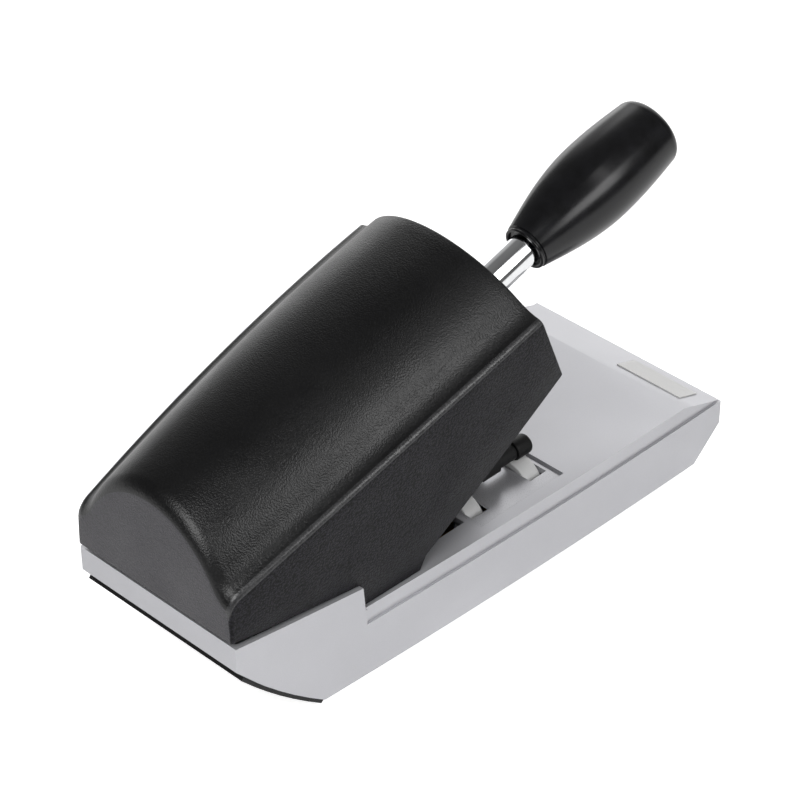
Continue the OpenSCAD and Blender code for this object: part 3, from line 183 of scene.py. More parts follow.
# metal with the lines its machining left, drawn out along one axis: streaks in gloss, colour hardly changes
def machinedMetal(name, low, high, rough, stretch):
    material, tree, place = newMaterial(name)
    drawn = addNode(tree, "Mapping", {"Vector": place, "Scale": stretch})
    lines = addNode(tree, "TexNoise", {"Vector": drawn, "Scale": 1 / (0.6 * mm), "Detail": 3,
                                       "Roughness": 0.6})
    cloud = addNode(tree, "TexNoise", {"Vector": place, "Scale": 1 / (14 * mm), "Detail": 3})
    tone = addNode(tree, "ValToRGB", {"Fac": cloud}, [(0.3, linear(low)), (0.7, linear(high))])
    gloss = addNode(tree, "ValToRGB", {"Fac": lines}, [(0.3, grey(rough - 0.06)), (0.7, grey(rough + 0.08))])
    cuts = addNode(tree, "Bump", {"Height": lines, "Strength": 0.08, "Distance": 0.02 * mm})
    shader = addNode(tree, "BsdfPrincipled", {"Base Color": tone, "Roughness": gloss, "Normal": cuts,
                                              "Metallic": 1.0})
    addNode(tree, "OutputMaterial", {"Surface": shader})
    return material


# chrome plate on a polished rod: a near mirror with faint clouds in its gloss
def chromePlate(name, low, high):
    material, tree, place = newMaterial(name)
    cloud = addNode(tree, "TexNoise", {"Vector": place, "Scale": 1 / (8 * mm), "Detail": 3})
    tone = addNode(tree, "ValToRGB", {"Fac": cloud}, [(0.3, linear(low)), (0.7, linear(high))])
    gloss = addNode(tree, "ValToRGB", {"Fac": cloud}, [(0.3, grey(0.05)), (0.7, grey(0.09))])
    shader = addNode(tree, "BsdfPrincipled", {"Base Color": tone, "Roughness": gloss, "Metallic": 1.0})
    addNode(tree, "OutputMaterial", {"Surface": shader})
    return material


silver = satinSkin("silverLacquerOnPlastic", "#bcbcc0", "#c2c2c6", 0.36, 0.5)
# painted shade: the feed plate's silver is set a little darker than the table's, standing in for the head's
# shade and the black cover mirrored in it
silverPlateShaded = satinSkin("silverLacquerFeedPlateShaded", "#b6b6ba", "#bebec1", 0.31, 0.55)
paleWheel = satinSkin("paleAcetalTurned", "#dddddd", "#e5e5e4", 0.4)
paleLabel = satinSkin("paleFoilBlank", "#d6d6d5", "#dedddc", 0.36)
# one grain over the cover: matt on the walls, the rear face coloured paler as a painted sheen, the crease
# coloured pale as a painted highlight; the walls' pebbles are drawn nearly half as wide again, because at
# their true size they don't show
coverBlack = leatherGrain("blackPlasticLeatherGrain", "#070708", "#0f0f10", 0.32, 0.4, 0.7 * mm, 0.08 * mm)
coverWall = leatherGrain("blackPlasticLeatherWall", "#030304", "#26252b", 0.5, 0.14, 1.0 * mm, 0.3 * mm)
# painted sheen: the rear face's grain is coloured much paler than the rest of the cover, standing in for the
# light its face catches
coverRearSheen = leatherGrain("blackPlasticLeatherRearPaintedSheen", "#211f25", "#38363d", 0.46, 0.55, 0.7 * mm, 0.16 * mm)
# painted highlight: a few columns along each crease are coloured paler than the cover, standing in for the
# bright line light draws on the crease's round
coverCreaseHighlight = leatherGrain("blackPlasticCreasePaintedHighlight", "#19191a", "#39393b", 0.3, 0.6, 0.7 * mm, 0.06 * mm)
panBlack = leatherGrain("blackPlasticMattPan", "#0e0e0f", "#181819", 0.55, 0.3, 0.8 * mm, 0.02 * mm)
gripBlack = polishedPhenolic("blackPhenolicPolished", "#0a0a0b", 0.2)
dialBlack = polishedPhenolic("blackPhenolicDial", "#0c0c0d", 0.3)
rubber = mouldedRubber("blackRubberMoulded", "#070707", "#101010")
chrome = chromePlate("chromePlatePolished", "#dedfe1", "#e8e9ea")
steelSide = machinedMetal("steelZincGroundAlong", "#8f9194", "#a2a4a7", 0.34, (1, 0.05, 1))
steelTurned = machinedMetal("steelZincTurned", "#96989b", "#a9abae", 0.28, (1, 1, 0.2))
brassMilled = machinedMetal("brassMilled", "#a8874a", "#bb9a5b", 0.32, (0.1, 1, 1))
slotLook = {"silver_plastic": silver, "black_plastic": panBlack, "black_gloss": dialBlack, "rubber": rubber,
            "wheel_plastic": paleWheel, "chrome": chrome, "brass": brassMilled, "zinc_steel": steelSide}
print("materials made")


# a mesh becomes a piece that rides on its node's body and takes its place
def finishPiece(name, mesh, material, node, sharp):
    mesh.validate()
    mesh.polygons.foreach_set("use_smooth", np.ones(len(mesh.polygons), bool))
    mesh.set_sharp_from_angle(angle=math.radians(sharp))
    mesh.materials.append(material)
    piece = bpy.data.objects.new(name, mesh)
    bpy.context.scene.collection.objects.link(piece)
    if node != "return_spring":  # the spring is left on no body
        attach(piece, bodyOf[node])
    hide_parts(node)
    return piece


# a piece from points in millimetres in the base's frame
def addPiece(name, points, faces, material, node, sharp):
    mesh = bpy.data.meshes.new(name)
    mesh.from_pydata((np.asarray(points) * mm + shift).tolist(), [], faces)
    return finishPiece(name, mesh, material, node, sharp)


# quads between two rows of point numbers, each joined to the next one along
def stripFaces(near, far):
    return np.stack([near[:-1], near[1:], far[1:], far[:-1]], axis=1).tolist()


# quads between the rows of a grid whose points are numbered row by row
def gridFaces(rows, columns, start=0, closed=False):
    row = np.arange(rows - 1)[:, None] * columns + start
    column = np.arange(columns if closed else columns - 1)
    near = row + column
    far = row + (column + 1) % columns
    return np.stack([near, far, far + columns, near + columns], axis=-1).reshape(-1, 4).tolist()


# turned piece: a half outline of (along, radius) points swept round an axis,
# point = origin + along times the axis + radius times a spoke
def turnedPiece(name, outline, origin, axis, material, node, around, sharp):
    axis = np.asarray(axis, float) / np.linalg.norm(axis)
    side = np.cross(axis, [1, 0, 0])
    side /= np.linalg.norm(side)
    over = np.cross(axis, side)
    turn = np.linspace(0, 2 * np.pi, around, endpoint=False)
    spoke = np.cos(turn)[:, None] * side + np.sin(turn)[:, None] * over
    points = np.asarray(origin, float) + outline[:, None, 0:1] * axis + outline[:, None, 1:2] * spoke[None]
    count = len(outline)
    faces = [face[::-1] for face in gridFaces(count, around, closed=True)]
    faces.append(tuple(range(around)))
    faces.append(tuple(reversed(range((count - 1) * around, count * around))))
    return addPiece(name, points.reshape(-1, 3), faces, material, node, sharp)


# arc between two straight runs of an outline, from one angle to another in degrees
def arc(centre, radius, start, stop, steps):
    turn = np.radians(np.linspace(start, stop, steps + 1))
    return np.stack([centre[0] + radius * np.cos(turn), centre[1] + radius * np.sin(turn)], axis=1)


# half width of the base at a place along it: straight from rear to front, bowed out between
def baseHalf(y):
    t = (baseEnd - y) / base["length"]
    return base["rearHalf"] + (base["frontHalf"] - base["rearHalf"]) * t + 4 * base["bow"] * t * (1 - t)


# head cover, in millimetres: three numbers are a width or height as (rear, front, bow), a parabola along the
# machine; the crown is an arc of radius arch over sweep degrees each side of the middle at the front face
faceY = -42.9
cover = {"rearY": 156.2, "faceY": faceY, "faceZ": 100.0, "lean": math.tan(math.radians(23)),
         "foot": (50.0, baseHalf(faceY) - 5.1, 0.8), "crease": (48.7, baseHalf(faceY) - 2.8, 2.7),
         "creaseZ": (81.5, 142.0, 3.6), "crown": (33.0, 30.6, 0.0), "arch": 55.5, "sweep": 54.0,
         "wall": 3.0, "topWall": 3.45, "roll": 6.0, "corner": 1.2, "fillet": 3.4, "innerFillet": 1.5,
         "edge": 0.8, "edgeWay": (1.0, -0.616), "ease": 0.5, "seam": 0.3, "rearGap": 2.7,
         "stepY": 83.6, "stepGap": 1.5, "rimFront": 50.5, "rimRear": 57.0, "knee": (43.5, 44.2),
         "footYs": (72.0, 60.0, 52.0, 46.8), "ringZ": 70.0, "ringIn": 0.05,
         "rearLook": 0.97, "wallLook": 0.96,  # how squarely a face looks back or sideways to get that finish
         # columns along each crease that take the painted highlight
         "highlightColumns": 4,
         "steps": {"wall": 6, "fillet": 7, "flank": 12, "arc": 26, "roll": 9, "rim": 9, "throat": 14,
                   "edge": 5, "settle": 12}}
coverSteps = cover["steps"]
frontHalf = cover["crease"][1]
archShare = cover["arch"] / frontHalf
crownShare = cover["crown"][1] / frontHalf
sweep = math.radians(cover["sweep"])
flankU = archShare * math.sin(sweep)
flankH = crownShare - archShare * (1 - math.cos(sweep))
flankPower = math.tan(sweep) * (1 - flankU) / flankH


# a value along the machine: straight from rear to front, with a parabola of the given bow added between
def bowed(key, y):
    rear, front, bow = cover[key]
    t = (cover["rearY"] - y) / (cover["rearY"] - cover["faceY"])
    return rear + (front - rear) * t + 4 * bow * t * (1 - t)


# height of the arch as a share of its crown: an arc over the middle, then flanks that flatten to the crease
def archHeight(u):
    u = np.abs(u)
    flank = flankH * np.clip((1 - u) / (1 - flankU), 0, 1) ** flankPower
    middle = crownShare - archShare + np.sqrt(np.clip(archShare ** 2 - u ** 2, 0, None))
    return np.where(u > flankU, flank, middle) / crownShare


# columns of the arch as (share of half width, height share, drop), the crease rounded by a parabola
def archColumns(fillet):
    flat = 1 - fillet / frontHalf
    t = np.linspace(0, 1, coverSteps["fillet"])
    corner = np.stack([(1 - t) ** 2 + 2 * t * (1 - t) + t ** 2 * flat,
                       t ** 2 * archHeight(np.array(flat)), -fillet * (1 - t) ** 2], axis=1)
    flank = np.linspace(flat, flankU, coverSteps["flank"])[1:]
    middle = archShare * np.sin(np.linspace(sweep, 0, coverSteps["arc"])[1:])
    u = np.concatenate([flank, middle])
    half = np.concatenate([corner, np.stack([u, archHeight(u), 0 * u], axis=1)])
    other = half[:-1][::-1] * [-1, 1, 1]
    return np.concatenate([half, other])


# one row: wall up from the lower edge, over the arch and down the other side;
# y = low y + lean times (z - low z), and y and z settle in a few rounds
def coverRow(lowY, lowZ, lean, sideIn, topIn, columns):
    y = np.full(len(columns), float(lowY))
    for _ in range(coverSteps["settle"]):
        z = bowed("creaseZ", y) + columns[:, 1] * bowed("crown", y) + columns[:, 2] - topIn
        y = lowY + lean * (z - lowZ)
    arch = np.stack([columns[:, 0] * (bowed("crease", y) - sideIn), y, z], axis=1)
    share = (lowZ - base["tableZ"]) / (bowed("creaseZ", lowY) - base["tableZ"])
    foot = bowed("foot", lowY) * (1 - share) + bowed("crease", lowY) * share - sideIn
    rise = np.linspace(0, 1, coverSteps["wall"] + 1)[:-1, None]
    right = np.array([foot, lowY, lowZ]) * (1 - rise) + arch[0] * rise
    left = (np.array([-foot, lowY, lowZ]) * (1 - rise) + arch[-1] * rise)[::-1]
    return np.concatenate([right, arch, left])


# lower edge of the cover over the base's rim, which rises in a straight line to the rear
def rimZ(y):
    rise = cover["rimRear"] - cover["rimFront"] + cover["rearGap"]
    return cover["rimFront"] + rise * (y - cover["stepY"]) / (baseEnd - cover["stepY"]) + cover["seam"]


outerColumns = archColumns(cover["fillet"])
innerColumns = archColumns(cover["innerFillet"])
outerRows, innerRows = [], []
# rows of the rear roll: the top rolls over on a large quarter round, the upright corners on a small one,
# in = r - root of (r squared - what is left squared)
for turn in np.radians(np.linspace(0, 90, coverSteps["roll"])):
    y = cover["rearY"] - cover["roll"] * (1 - math.cos(turn))
    topIn = cover["roll"] * (1 - math.sin(turn))
    remains = max(0, cover["corner"] - (cover["rearY"] - y))
    sideIn = cover["corner"] - math.sqrt(cover["corner"] ** 2 - remains ** 2)
    outerRows.append(coverRow(y, rimZ(y), 0, sideIn, topIn, outerColumns))
    y = cover["rearY"] - cover["wall"] - cover["roll"] * turn / (math.pi / 2)
    innerRows.append(coverRow(y, rimZ(y), 0, cover["wall"], cover["topWall"], innerColumns))
# rows along the rim, the table and the slanting throat edge, as (y, z, lean)
faceLow = np.array([cover["faceY"], cover["faceZ"]])
kneeLow = np.array(cover["knee"])
lowRows = []
for y in np.linspace(cover["rearY"] - cover["roll"], cover["stepY"], coverSteps["rim"])[1:]:
    lowRows.append((y, rimZ(y), 0))
for y in (cover["stepY"] - cover["stepGap"], *cover["footYs"]):
    lowRows.append((y, base["tableZ"] + cover["seam"], 0))
for share in np.linspace(0, 1, coverSteps["throat"])[:-1]:
    lowRows.append((*(kneeLow + share * (faceLow - kneeLow)), share * cover["lean"]))
for lowY, lowZ, lean in lowRows:
    outerRows.append(coverRow(lowY, lowZ, lean, 0, 0, outerColumns))
    innerRows.append(coverRow(lowY, lowZ, lean, cover["wall"], cover["topWall"], innerColumns))
# rows of the rounded front edge, which begin a little way back along the throat edge
for turn in np.radians(np.linspace(0, 90, coverSteps["edge"])):
    inset = cover["edge"] * (1 - math.cos(turn))
    lowY, lowZ = faceLow + cover["edge"] * (1 - math.sin(turn)) * np.array(cover["edgeWay"])
    outerRows.append(coverRow(lowY, lowZ, cover["lean"], inset, inset, outerColumns))
    innerRows.append(coverRow(lowY, lowZ, cover["lean"], cover["wall"] - inset / 2,
                              cover["topWall"] - inset / 2, innerColumns))
outerRows = np.array(outerRows)
innerRows = np.array(innerRows)
# the lower edge is eased: the last point of each wall is drawn in, the next one up keeps the wall
for rows, sign in ((outerRows, 1), (innerRows, -1)):
    for end, near in ((0, 1), (-1, -2)):
        step = rows[:, near] - rows[:, end]
        step /= np.linalg.norm(step, axis=1)[:, None]
        rows[:, near] = rows[:, end] + step * cover["ease"]
        rows[:, end, 0] -= sign * cover["ease"] * np.sign(rows[:, end, 0])
# the rear face is filled inside a ring drawn a little way in, so that its shading stays flat
ring = outerRows[0] + (np.array([0, cover["rearY"], cover["ringZ"]]) - outerRows[0]) * cover["ringIn"]
count, wide = outerRows.shape[:2]
inner = count * wide  # number of the inner skin's first point
frontRow = inner - wide + np.arange(wide)
rightEdge = np.arange(count) * wide
leftEdge = rightEdge[::-1] + wide - 1
around = np.arange(wide + 1) % wide
faces = gridFaces(count, wide) + [face[::-1] for face in gridFaces(count, wide, start=inner)]
faces += stripFaces(frontRow, inner + frontRow)
faces += stripFaces(rightEdge, inner + rightEdge)
faces += stripFaces(leftEdge, inner + leftEdge)
faces.append((wide - 1, 0, inner, inner + wide - 1))
faces += stripFaces(2 * inner + around, around)
faces.append((2 * inner + np.arange(wide)[::-1]).tolist())
faces.append((inner + np.arange(wide)).tolist())
points = np.concatenate([outerRows.reshape(-1, 3), innerRows.reshape(-1, 3), ring])
coverSkin = addPiece("coverSkin", points, faces, coverBlack, "head_cover", sharp=60)
# the walls, the rear face with its painted sheen and the creases with their painted highlight have finishes
# of their own, picked by where a face looks and, on the outer skin, by its column
for look in (coverWall, coverRearSheen, coverCreaseHighlight):
    coverSkin.data.materials.append(look)
looks = np.zeros(len(coverSkin.data.polygons) * 3)
coverSkin.data.polygons.foreach_get("normal", looks)
looks = looks.reshape(-1, 3)
finish = np.where(np.abs(looks[:, 0]) > cover["wallLook"], 1, 0)
finish = np.where(looks[:, 1] > cover["rearLook"], 2, finish)
column = np.tile(np.arange(wide - 1), count - 1)
fromEdge = np.minimum(column, wide - 2 - column) - coverSteps["wall"]
finish[:len(column)][fromEdge < 0] = 1
finish[:len(column)][(fromEdge > 0) & (fromEdge <= cover["highlightColumns"])] = 3
coverSkin.data.polygons.foreach_set("material_index", finish.astype(np.int32))
print("cover made")

# lever: rod and grip are turned about the lever's own line, their outlines given as (along, radius)
lever = {"pivotZ": 102.6, "rest": math.radians(16.8)}
grip = {"start": 80.0, "length": 92.6, "neckR": 11.4, "bellyR": 20.6, "tipR": 17.6, "bellyAt": 0.56,
        "mouth": [(1.2, 8.1), (1.2, 9.7)], "lip": 0.5, "lipRs": (10.2, 10.9),
        "groove": [(1.1, 11.45), (1.4, 11.25), (1.7, 11.2), (2.0, 11.3)], "bodyStart": 2.4,
        "corner": 5.0, "dome": 0.6, "domeDrop": 0.45, "bodyPoints": 48, "domeShares": (0.93, 0.02, 12)}
rod = {"tail": 34.5, "collar": 46.0, "mouth": 81.18, "tip": 139.2, "tailR": 5.0, "rodR": 8.0, "coreR": 5.9,
       "tailEase": (0.5, 0.4), "collarStep": 0.02, "collarEase": 0.5, "mouthStep": 0.01,
       "tipEase": (0.2, 0.7)}
leverLine = (0, -math.cos(lever["rest"]), math.sin(lever["rest"]))
leverPivot = (0, 0, lever["pivotZ"])


# radius of the grip: a quarter sine from neck to belly, then a quarter cosine down to the tip
def gripRadius(t):
    swell = grip["neckR"] + (grip["bellyR"] - grip["neckR"]) * np.sin(np.pi / 2 * t / grip["bellyAt"])
    turn = np.pi / 2 * (t - grip["bellyAt"]) / (1 - grip["bellyAt"])
    taper = grip["bellyR"] - (grip["bellyR"] - grip["tipR"]) * (1 - np.cos(turn))
    return np.where(t < grip["bellyAt"], swell, taper)


# the grip's outline: mouth, rounded lip and groove, the body, a round corner and a slight dome
bodyEnd = grip["length"] - grip["corner"] - grip["dome"]
body = np.linspace(grip["bodyStart"], bodyEnd, grip["bodyPoints"])
shoulder = gripRadius(bodyEnd / grip["length"]) - grip["corner"]
corner = arc((bodyEnd, shoulder), grip["corner"], 90, 4, 12)[1:]
domeShare = np.linspace(*grip["domeShares"])
outline = np.vstack([
    grip["mouth"],
    arc((grip["lip"], grip["lipRs"][0]), grip["lip"], -90, -180, 4),
    arc((grip["lip"], grip["lipRs"][1]), grip["lip"], 180, 90, 4),
    grip["groove"],
    np.stack([body, gripRadius(body / grip["length"])], axis=1),
    corner,
    np.stack([grip["length"] - grip["domeDrop"] * domeShare ** 2, corner[-1, 1] * domeShare], axis=1)])
turnedPiece("gripBody", outline + (grip["start"], 0), leverPivot, leverLine, gripBlack, "lever_grip",
            around=160, sharp=40)
# the rod: a chamfered tail in the hub, a collar, the bright rod and a thinner core inside the grip
tail, collar, mouth, tip = rod["tail"], rod["collar"], rod["mouth"], rod["tip"]
tailR, rodR, coreR = rod["tailR"], rod["rodR"], rod["coreR"]
outline = np.array([
    (tail, tailR - rod["tailEase"][1]), (tail + rod["tailEase"][0], tailR), (collar, tailR),
    (collar + rod["collarStep"], rodR - rod["collarEase"]), (collar + rod["collarEase"], rodR), (mouth, rodR),
    (mouth + rod["mouthStep"], coreR), (tip - rod["tipEase"][0], coreR), (tip, coreR - rod["tipEase"][1])])
turnedPiece("rodBody", outline, leverPivot, leverLine, chrome, "lever_rod", around=128, sharp=30)
print("lever made")

# feed wheels, pinch rollers and their bar, turned about lines along the machine; axisR closes a solid end
feedX, axisR = -28.6, 0.02
wheel = {"z": 25.8, "ys": {"front": -42.2, "rear": -3.2}, "r": 13.4, "width": 9.6, "web": 3.0, "boreR": 3.05,
         "hubR": 5.5, "hubDraft": 0.1, "rim": 3.0, "rimDraft": 0.2, "round": 0.6}
roller = {"z": 44.5, "r": 5.0, "width": 10.0, "boreR": 2.05, "cap": 1.6, "capDraft": 0.05, "tipRound": 1.5,
          "mouthRound": 0.7, "tipFlat": 0.1, "ends": {"front": (-44.2, 1), "rear": (-3.2, -1)}}
bar = {"ends": (-47.6, 0.1), "thick": (-39.2, -8.2), "r": 4.0, "journalR": 2.0, "journalDraft": 0.1,
       "edge": 0.3, "sharp": 0.01}
# a wheel's outline is one half and its mirror: bore, hub, sunk web, rim and a rounded tread
side, web, tread = -wheel["width"] / 2, -wheel["web"] / 2, wheel["r"]
half = np.vstack([
    [(web, wheel["boreR"]), (side, wheel["boreR"]), (side, wheel["hubR"]),
     (web, wheel["hubR"] + wheel["hubDraft"]), (web, tread - wheel["rim"] - wheel["rimDraft"]),
     (side, tread - wheel["rim"])],
    arc((side + wheel["round"], tread - wheel["round"]), wheel["round"], 180, 90, 5)])
outline = np.vstack([half, half[::-1] * (-1, 1)])
for name, y in wheel["ys"].items():
    turnedPiece("wheel" + name.title(), outline, (feedX, y, wheel["z"]), (0, 1, 0), paleWheel,
                "feed_wheel_" + name, around=144, sharp=30)
# a roller is a rubber cap: closed and well rounded at its tip, open at its mouth
tip, mouth, bore = -roller["width"] / 2, roller["width"] / 2, roller["boreR"]
tipRound, mouthRound = roller["tipRound"], roller["mouthRound"]
outline = np.vstack([
    [(tip, axisR), (tip, roller["r"] - tipRound - roller["tipFlat"])],
    arc((tip + tipRound, roller["r"] - tipRound), tipRound, 180, 90, 8),
    arc((mouth - mouthRound, roller["r"] - mouthRound), mouthRound, 90, 0, 6),
    [(mouth, bore), (tip + roller["cap"], bore), (tip + roller["cap"] - roller["capDraft"], axisR)]])
for name, (y, way) in roller["ends"].items():
    turnedPiece("roller" + name.title(), outline, (feedX, y, roller["z"]), (0, way, 0), rubber,
                "pinch_roller_" + name, around=96, sharp=30)
# the bar: thin journals in the rollers, a thick middle with eased edges
start, stop = bar["ends"]
low, high = bar["thick"]
thin, tapered, thick = bar["journalR"], bar["journalR"] - bar["journalDraft"], bar["r"]
outline = np.array([
    (start, axisR), (start, tapered), (low, thin), (low + bar["sharp"], thick - bar["edge"]),
    (low + bar["edge"], thick), (high - bar["edge"], thick), (high - bar["sharp"], thick - bar["edge"]),
    (high, thin), (stop, tapered), (stop, axisR)])
turnedPiece("pinchBar", outline, (feedX, 0, roller["z"]), (0, 1, 0), panBlack, "pinch_bar",
            around=96, sharp=30)
print("feed made")

# return spring: a helix of wire whose end turns shrink to straight leads,
# x = r cos a, y = r sin a, z rising evenly; tail is how far behind the pivot the lever holds it
spring = {"tail": 20.0, "low": 54.7, "high": 94.12, "lead": 4.0, "turns": 9, "coilR": 3.2, "wireR": 0.55,
          "taper": 0.75, "turnSteps": 48, "leadSteps": 5, "sides": 14}
springY = spring["tail"] * math.cos(lever["rest"])
t = np.linspace(0, spring["turns"], spring["turns"] * spring["turnSteps"] + 1)
swing = 2 * np.pi * t
reach = spring["coilR"] * np.minimum(1, np.minimum(t, spring["turns"] - t) / spring["taper"])
coilLow, coilHigh = spring["low"] + spring["lead"], spring["high"] - spring["lead"]
coil = np.stack([reach * np.cos(swing), reach * np.sin(swing),
                 coilLow + (coilHigh - coilLow) * t / spring["turns"]], axis=1)
leadLow = np.linspace((0, 0, spring["low"]), (0, 0, coilLow), spring["leadSteps"] + 1)[:-1]
leadHigh = np.linspace((0, 0, coilHigh), (0, 0, spring["high"]), spring["leadSteps"] + 1)[1:]
line = np.concatenate([leadLow, coil, leadHigh])
# the wire's round is carried along the line, square to it, from a spoke that points away from the axis
outward = np.stack([np.cos(swing), np.sin(swing), 0 * swing], axis=1)
outward = np.pad(outward, ((spring["leadSteps"], spring["leadSteps"]), (0, 0)), mode="edge")
course = np.gradient(line, axis=0)
course /= np.linalg.norm(course, axis=1)[:, None]
outward -= (outward * course).sum(1)[:, None] * course
outward /= np.linalg.norm(outward, axis=1)[:, None]
beside = np.cross(course, outward)
turn = np.linspace(0, 2 * np.pi, spring["sides"], endpoint=False)[None, :, None]
wire = line[:, None] + spring["wireR"] * (np.cos(turn) * outward[:, None] + np.sin(turn) * beside[:, None])
wire[..., 1] += springY
faces = gridFaces(len(line), spring["sides"], closed=True)
faces.append(tuple(reversed(range(spring["sides"]))))
faces.append(tuple(range((len(line) - 1) * spring["sides"], len(line) * spring["sides"])))
springWire = addPiece("springWire", wire.reshape(-1, 3), faces, steelTurned, "return_spring", sharp=40)
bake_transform(springWire)
print("spring made")


# width of the round on an edge of the base: only the outer edges have one, wider at the upright corners
def baseRound(edge):
    a, b = [(np.array(v.co) - shift) / mm for v in edge.verts]
    x, y, _ = np.abs(a + b) / 2
    along = (a[1] + b[1]) / 2
    outside = x > baseHalf(along) - base["sideBand"] or y > baseEnd - base["endBand"]
    if not edge.is_convex or not outside or np.linalg.norm(a - b) < base["shortEdge"]:
        return 0
    upright = abs(a[2] - b[2]) > base["uprightRise"] and y > baseEnd - base["cornerBand"]
    return base["cornerRound"] if upright else base["edgeRound"]


# base: a copy of its CAD node with the flat faces joined and the outer edges rounded, the widest rounds first
work = bmesh.new()
work.from_mesh(nodes["base_shell"].data)
bmesh.ops.remove_doubles(work, verts=work.verts, dist=weldGap)
bmesh.ops.dissolve_limit(work, angle_limit=math.radians(base["flatAngle"]), verts=work.verts,
                         edges=work.edges)
rounds = {base["cornerRound"]: [], base["edgeRound"]: []}
for edge in work.edges:
    if len(edge.link_faces) == 2 and edge.calc_face_angle(0) > math.radians(base["edgeAngle"]):
        width = baseRound(edge)
        if width:
            rounds[width].append(edge)
for width, edges in rounds.items():
    bmesh.ops.bevel(work, geom=[edge for edge in edges if edge.is_valid], offset=width * mm,
                    offset_type="OFFSET", segments=base["segments"], profile=0.5, affect="EDGES",
                    clamp_overlap=True)
mesh = bpy.data.meshes.new("baseBody")
work.to_mesh(mesh)
work.free()
baseBody = finishPiece("baseBody", mesh, silver, "base_shell", sharp=30)
level = baseBody.modifiers.new("level", "WEIGHTED_NORMAL")
level.keep_sharp = True
level.weight = 100
print("base made")

# the other solids keep their CAD shape and get their material, with eased edges
ownLook = {"feed_plate": silverPlateShaded, "front_panel": coverBlack, "cover_posts": coverBlack,
           "blank_plate": paleLabel}
turnedNodes = ("pivot_shaft", "tie_bars", "feed_shaft", "dial_spindle", "click_plunger", "crank_pin",
               "tail_pin", "pawl_pin")
finePins = ("punch_pins", "pawl_pin")  # too fine for an eased edge
ease = {"width": 0.2 * mm, "segments": 2, "angle": math.radians(40)}
for name, solid in nodes.items():
    if solid.hide_render:
        continue
    look = ownLook.get(name, slotLook[slotOf[name]])
    if name in turnedNodes or name.endswith("screws"):
        look = steelTurned
    solid.data.materials.clear()
    solid.data.materials.append(look)
    if name not in finePins:
        weld = solid.modifiers.new("weld", "WELD")
        weld.merge_threshold = weldGap
        eased = solid.modifiers.new("eased", "BEVEL")
        eased.width = ease["width"]
        eased.segments = ease["segments"]
        eased.limit_method = "ANGLE"
        eased.angle_limit = ease["angle"]
        eased.harden_normals = True
print("other solids dressed")

# stage: a wide pale floor, shown white to the camera and in reflections, with the shadow that falls on it
paper = {"half": 4.0, "cloud": 300 * mm, "low": 0.80, "high": 0.82, "seenGlow": 0.5, "cameraGlow": 0.3}
corners = np.array([(-1, -1, 0), (1, -1, 0), (1, 1, 0), (-1, 1, 0)]) * paper["half"]
floorMesh = bpy.data.meshes.new("floor")
floorMesh.from_pydata(corners.tolist(), [], [(0, 1, 2, 3)])
floor = bpy.data.objects.new("floor", floorMesh)
bpy.context.scene.collection.objects.link(floor)
# matt studio paper: a flat white with hardly any cloud
floorLook, tree, place = newMaterial("paleStudioPaper")
cloud = addNode(tree, "TexNoise", {"Vector": place, "Scale": 1 / paper["cloud"], "Detail": 2})
tone = addNode(tree, "ValToRGB", {"Fac": cloud}, [(0.4, grey(paper["low"])), (0.6, grey(paper["high"]))])
path = addNode(tree, "LightPath", {}).outputs
mirrored = addNode(tree, "Math", {0: path["Is Camera Ray"], 1: path["Is Glossy Ray"]}, operation="ADD")
seen = addNode(tree, "Math", {0: mirrored, 1: path["Is Transmission Ray"]}, operation="ADD")
glow = addNode(tree, "Math", {0: seen, 1: paper["seenGlow"]}, operation="MULTIPLY")
lift = addNode(tree, "Math", {0: path["Is Camera Ray"], 1: paper["cameraGlow"], 2: glow},
               operation="MULTIPLY_ADD")
shader = addNode(tree, "BsdfPrincipled", {"Base Color": tone, "Roughness": 0.9, "Specular IOR Level": 0.1,
                                          "Emission Color": grey(1), "Emission Strength": lift})
addNode(tree, "OutputMaterial", {"Surface": shader})
floorMesh.materials.append(floorLook)

# studio room: a white backdrop low on the far side, and a dim room above and behind the camera
room = {"backdrop": (0.50, -0.80, 0.33), "tones": [(0.3, 0.14), (0.74, 0.2), (0.88, 0.8), (0.95, 0.85)]}
world = bpy.data.worlds.new("studio")
world.use_nodes = True
tree = world.node_tree
toSky = addNode(tree, "TexCoord", {}).outputs["Generated"]
facing = addNode(tree, "VectorMath", {0: toSky, 1: room["backdrop"]}, operation="DOT_PRODUCT")
tone = addNode(tree, "ValToRGB", {"Fac": facing.outputs["Value"]},
               [(at, grey(value)) for at, value in room["tones"]])
tree.links.new(tone.outputs[0], tree.nodes["Background"].inputs["Color"])
tree.nodes["Background"].inputs["Strength"].default_value = 1.0
bpy.context.scene.world = world

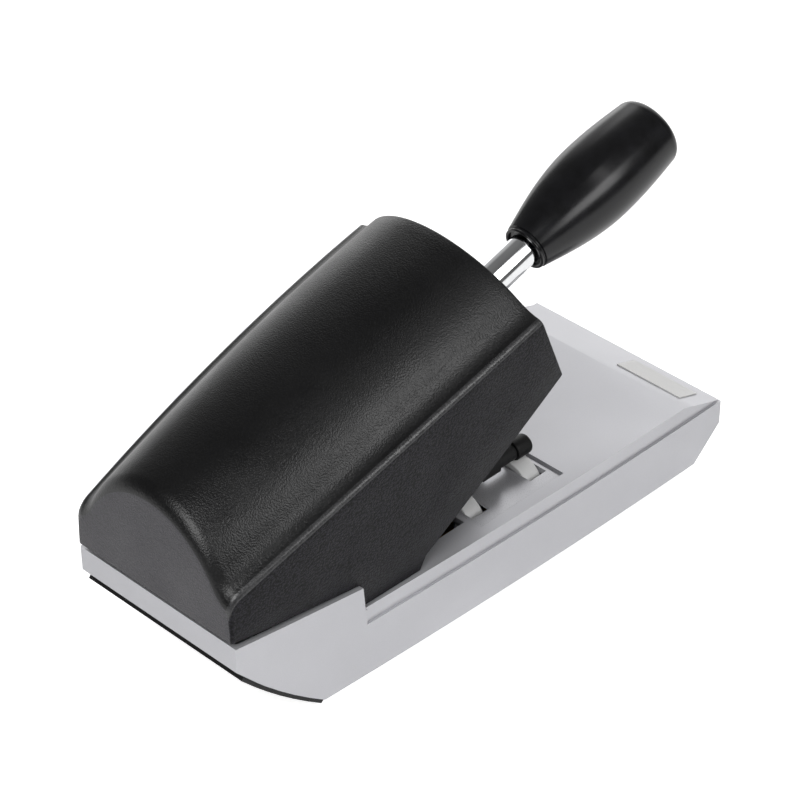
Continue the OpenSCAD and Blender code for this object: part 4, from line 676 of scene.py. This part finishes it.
# lamps: soft boxes in metres, each aimed at a point of the machine
lamps = {"rearBox": {"at": (-0.42, 0.84, 0.97), "aim": (0, 0, 0.06), "size": (0.8, 0.6), "power": 10},
         "sideBox": {"at": (-1.25, -0.25, 0.85), "aim": (0, 0, 0.08), "size": (0.8, 0.5), "power": 6},
         "farBox": {"at": (1.0, -1.3, 0.25), "aim": (0, 0, 0.05), "size": (2.0, 0.5), "power": 3.5},
         "frontBox": {"at": (0.85, -1.1, 1.0), "aim": (0, 0, 0.05), "size": (0.8, 0.8), "power": 2.0},
         "gripStrip": {"at": (-0.78, -0.3, 1.2), "aim": (0, -0.1, 0.15), "size": (0.14, 0.9), "power": 1}}


# an object's place, looking against its own Z
def placed(right, up, back, at):
    turn = Matrix([right.tolist(), up.tolist(), back.tolist()]).transposed().to_4x4()
    turn.translation = at
    return turn


for name, lamp in lamps.items():
    data = bpy.data.lights.new(name, "AREA")
    data.shape = "RECTANGLE"
    data.size, data.size_y = lamp["size"]
    data.energy = lamp["power"]
    toward = np.array(lamp["aim"], float) - np.array(lamp["at"], float)
    toward /= np.linalg.norm(toward)
    right = np.cross(toward, [0, 0, 1])
    right /= np.linalg.norm(right)
    light = bpy.data.objects.new(name, data)
    light.matrix_world = placed(right, np.cross(right, toward), -toward, lamp["at"])
    bpy.context.scene.collection.objects.link(light)

# camera fitted to the photo, in degrees and metres; focal length and centre are in pixels of the photo
view = {"azimuth": 224.4, "elevation": 37.0, "roll": -0.2, "distance": 1.3746, "target": (0, 0, 60.0),
        "photo": 800, "focal": 2997.7, "centre": (408.1, 435.4), "sensor": 36.0}
azimuth, elevation, roll = np.radians([view["azimuth"], view["elevation"], view["roll"]])
back = np.array([math.sin(azimuth) * math.cos(elevation), -math.cos(azimuth) * math.cos(elevation),
                 math.sin(elevation)])
right = np.cross(-back, [0, 0, 1])
right /= np.linalg.norm(right)
up = np.cross(right, -back)
right, up = math.cos(roll) * right + math.sin(roll) * up, -math.sin(roll) * right + math.cos(roll) * up
cameraData = bpy.data.cameras.new("camera")
cameraData.sensor_width = view["sensor"]
cameraData.lens = view["focal"] * view["sensor"] / view["photo"]
cameraData.shift_x = (view["photo"] / 2 - view["centre"][0]) / view["photo"]
cameraData.shift_y = (view["centre"][1] - view["photo"] / 2) / view["photo"]
camera = bpy.data.objects.new("camera", cameraData)
camera.matrix_world = placed(right, up, back, np.array(view["target"]) * mm + shift + back * view["distance"])
bpy.context.scene.collection.objects.link(camera)
bpy.context.scene.camera = camera
bpy.context.scene.view_settings.view_transform = "Standard"
print("stage, lights and camera set")
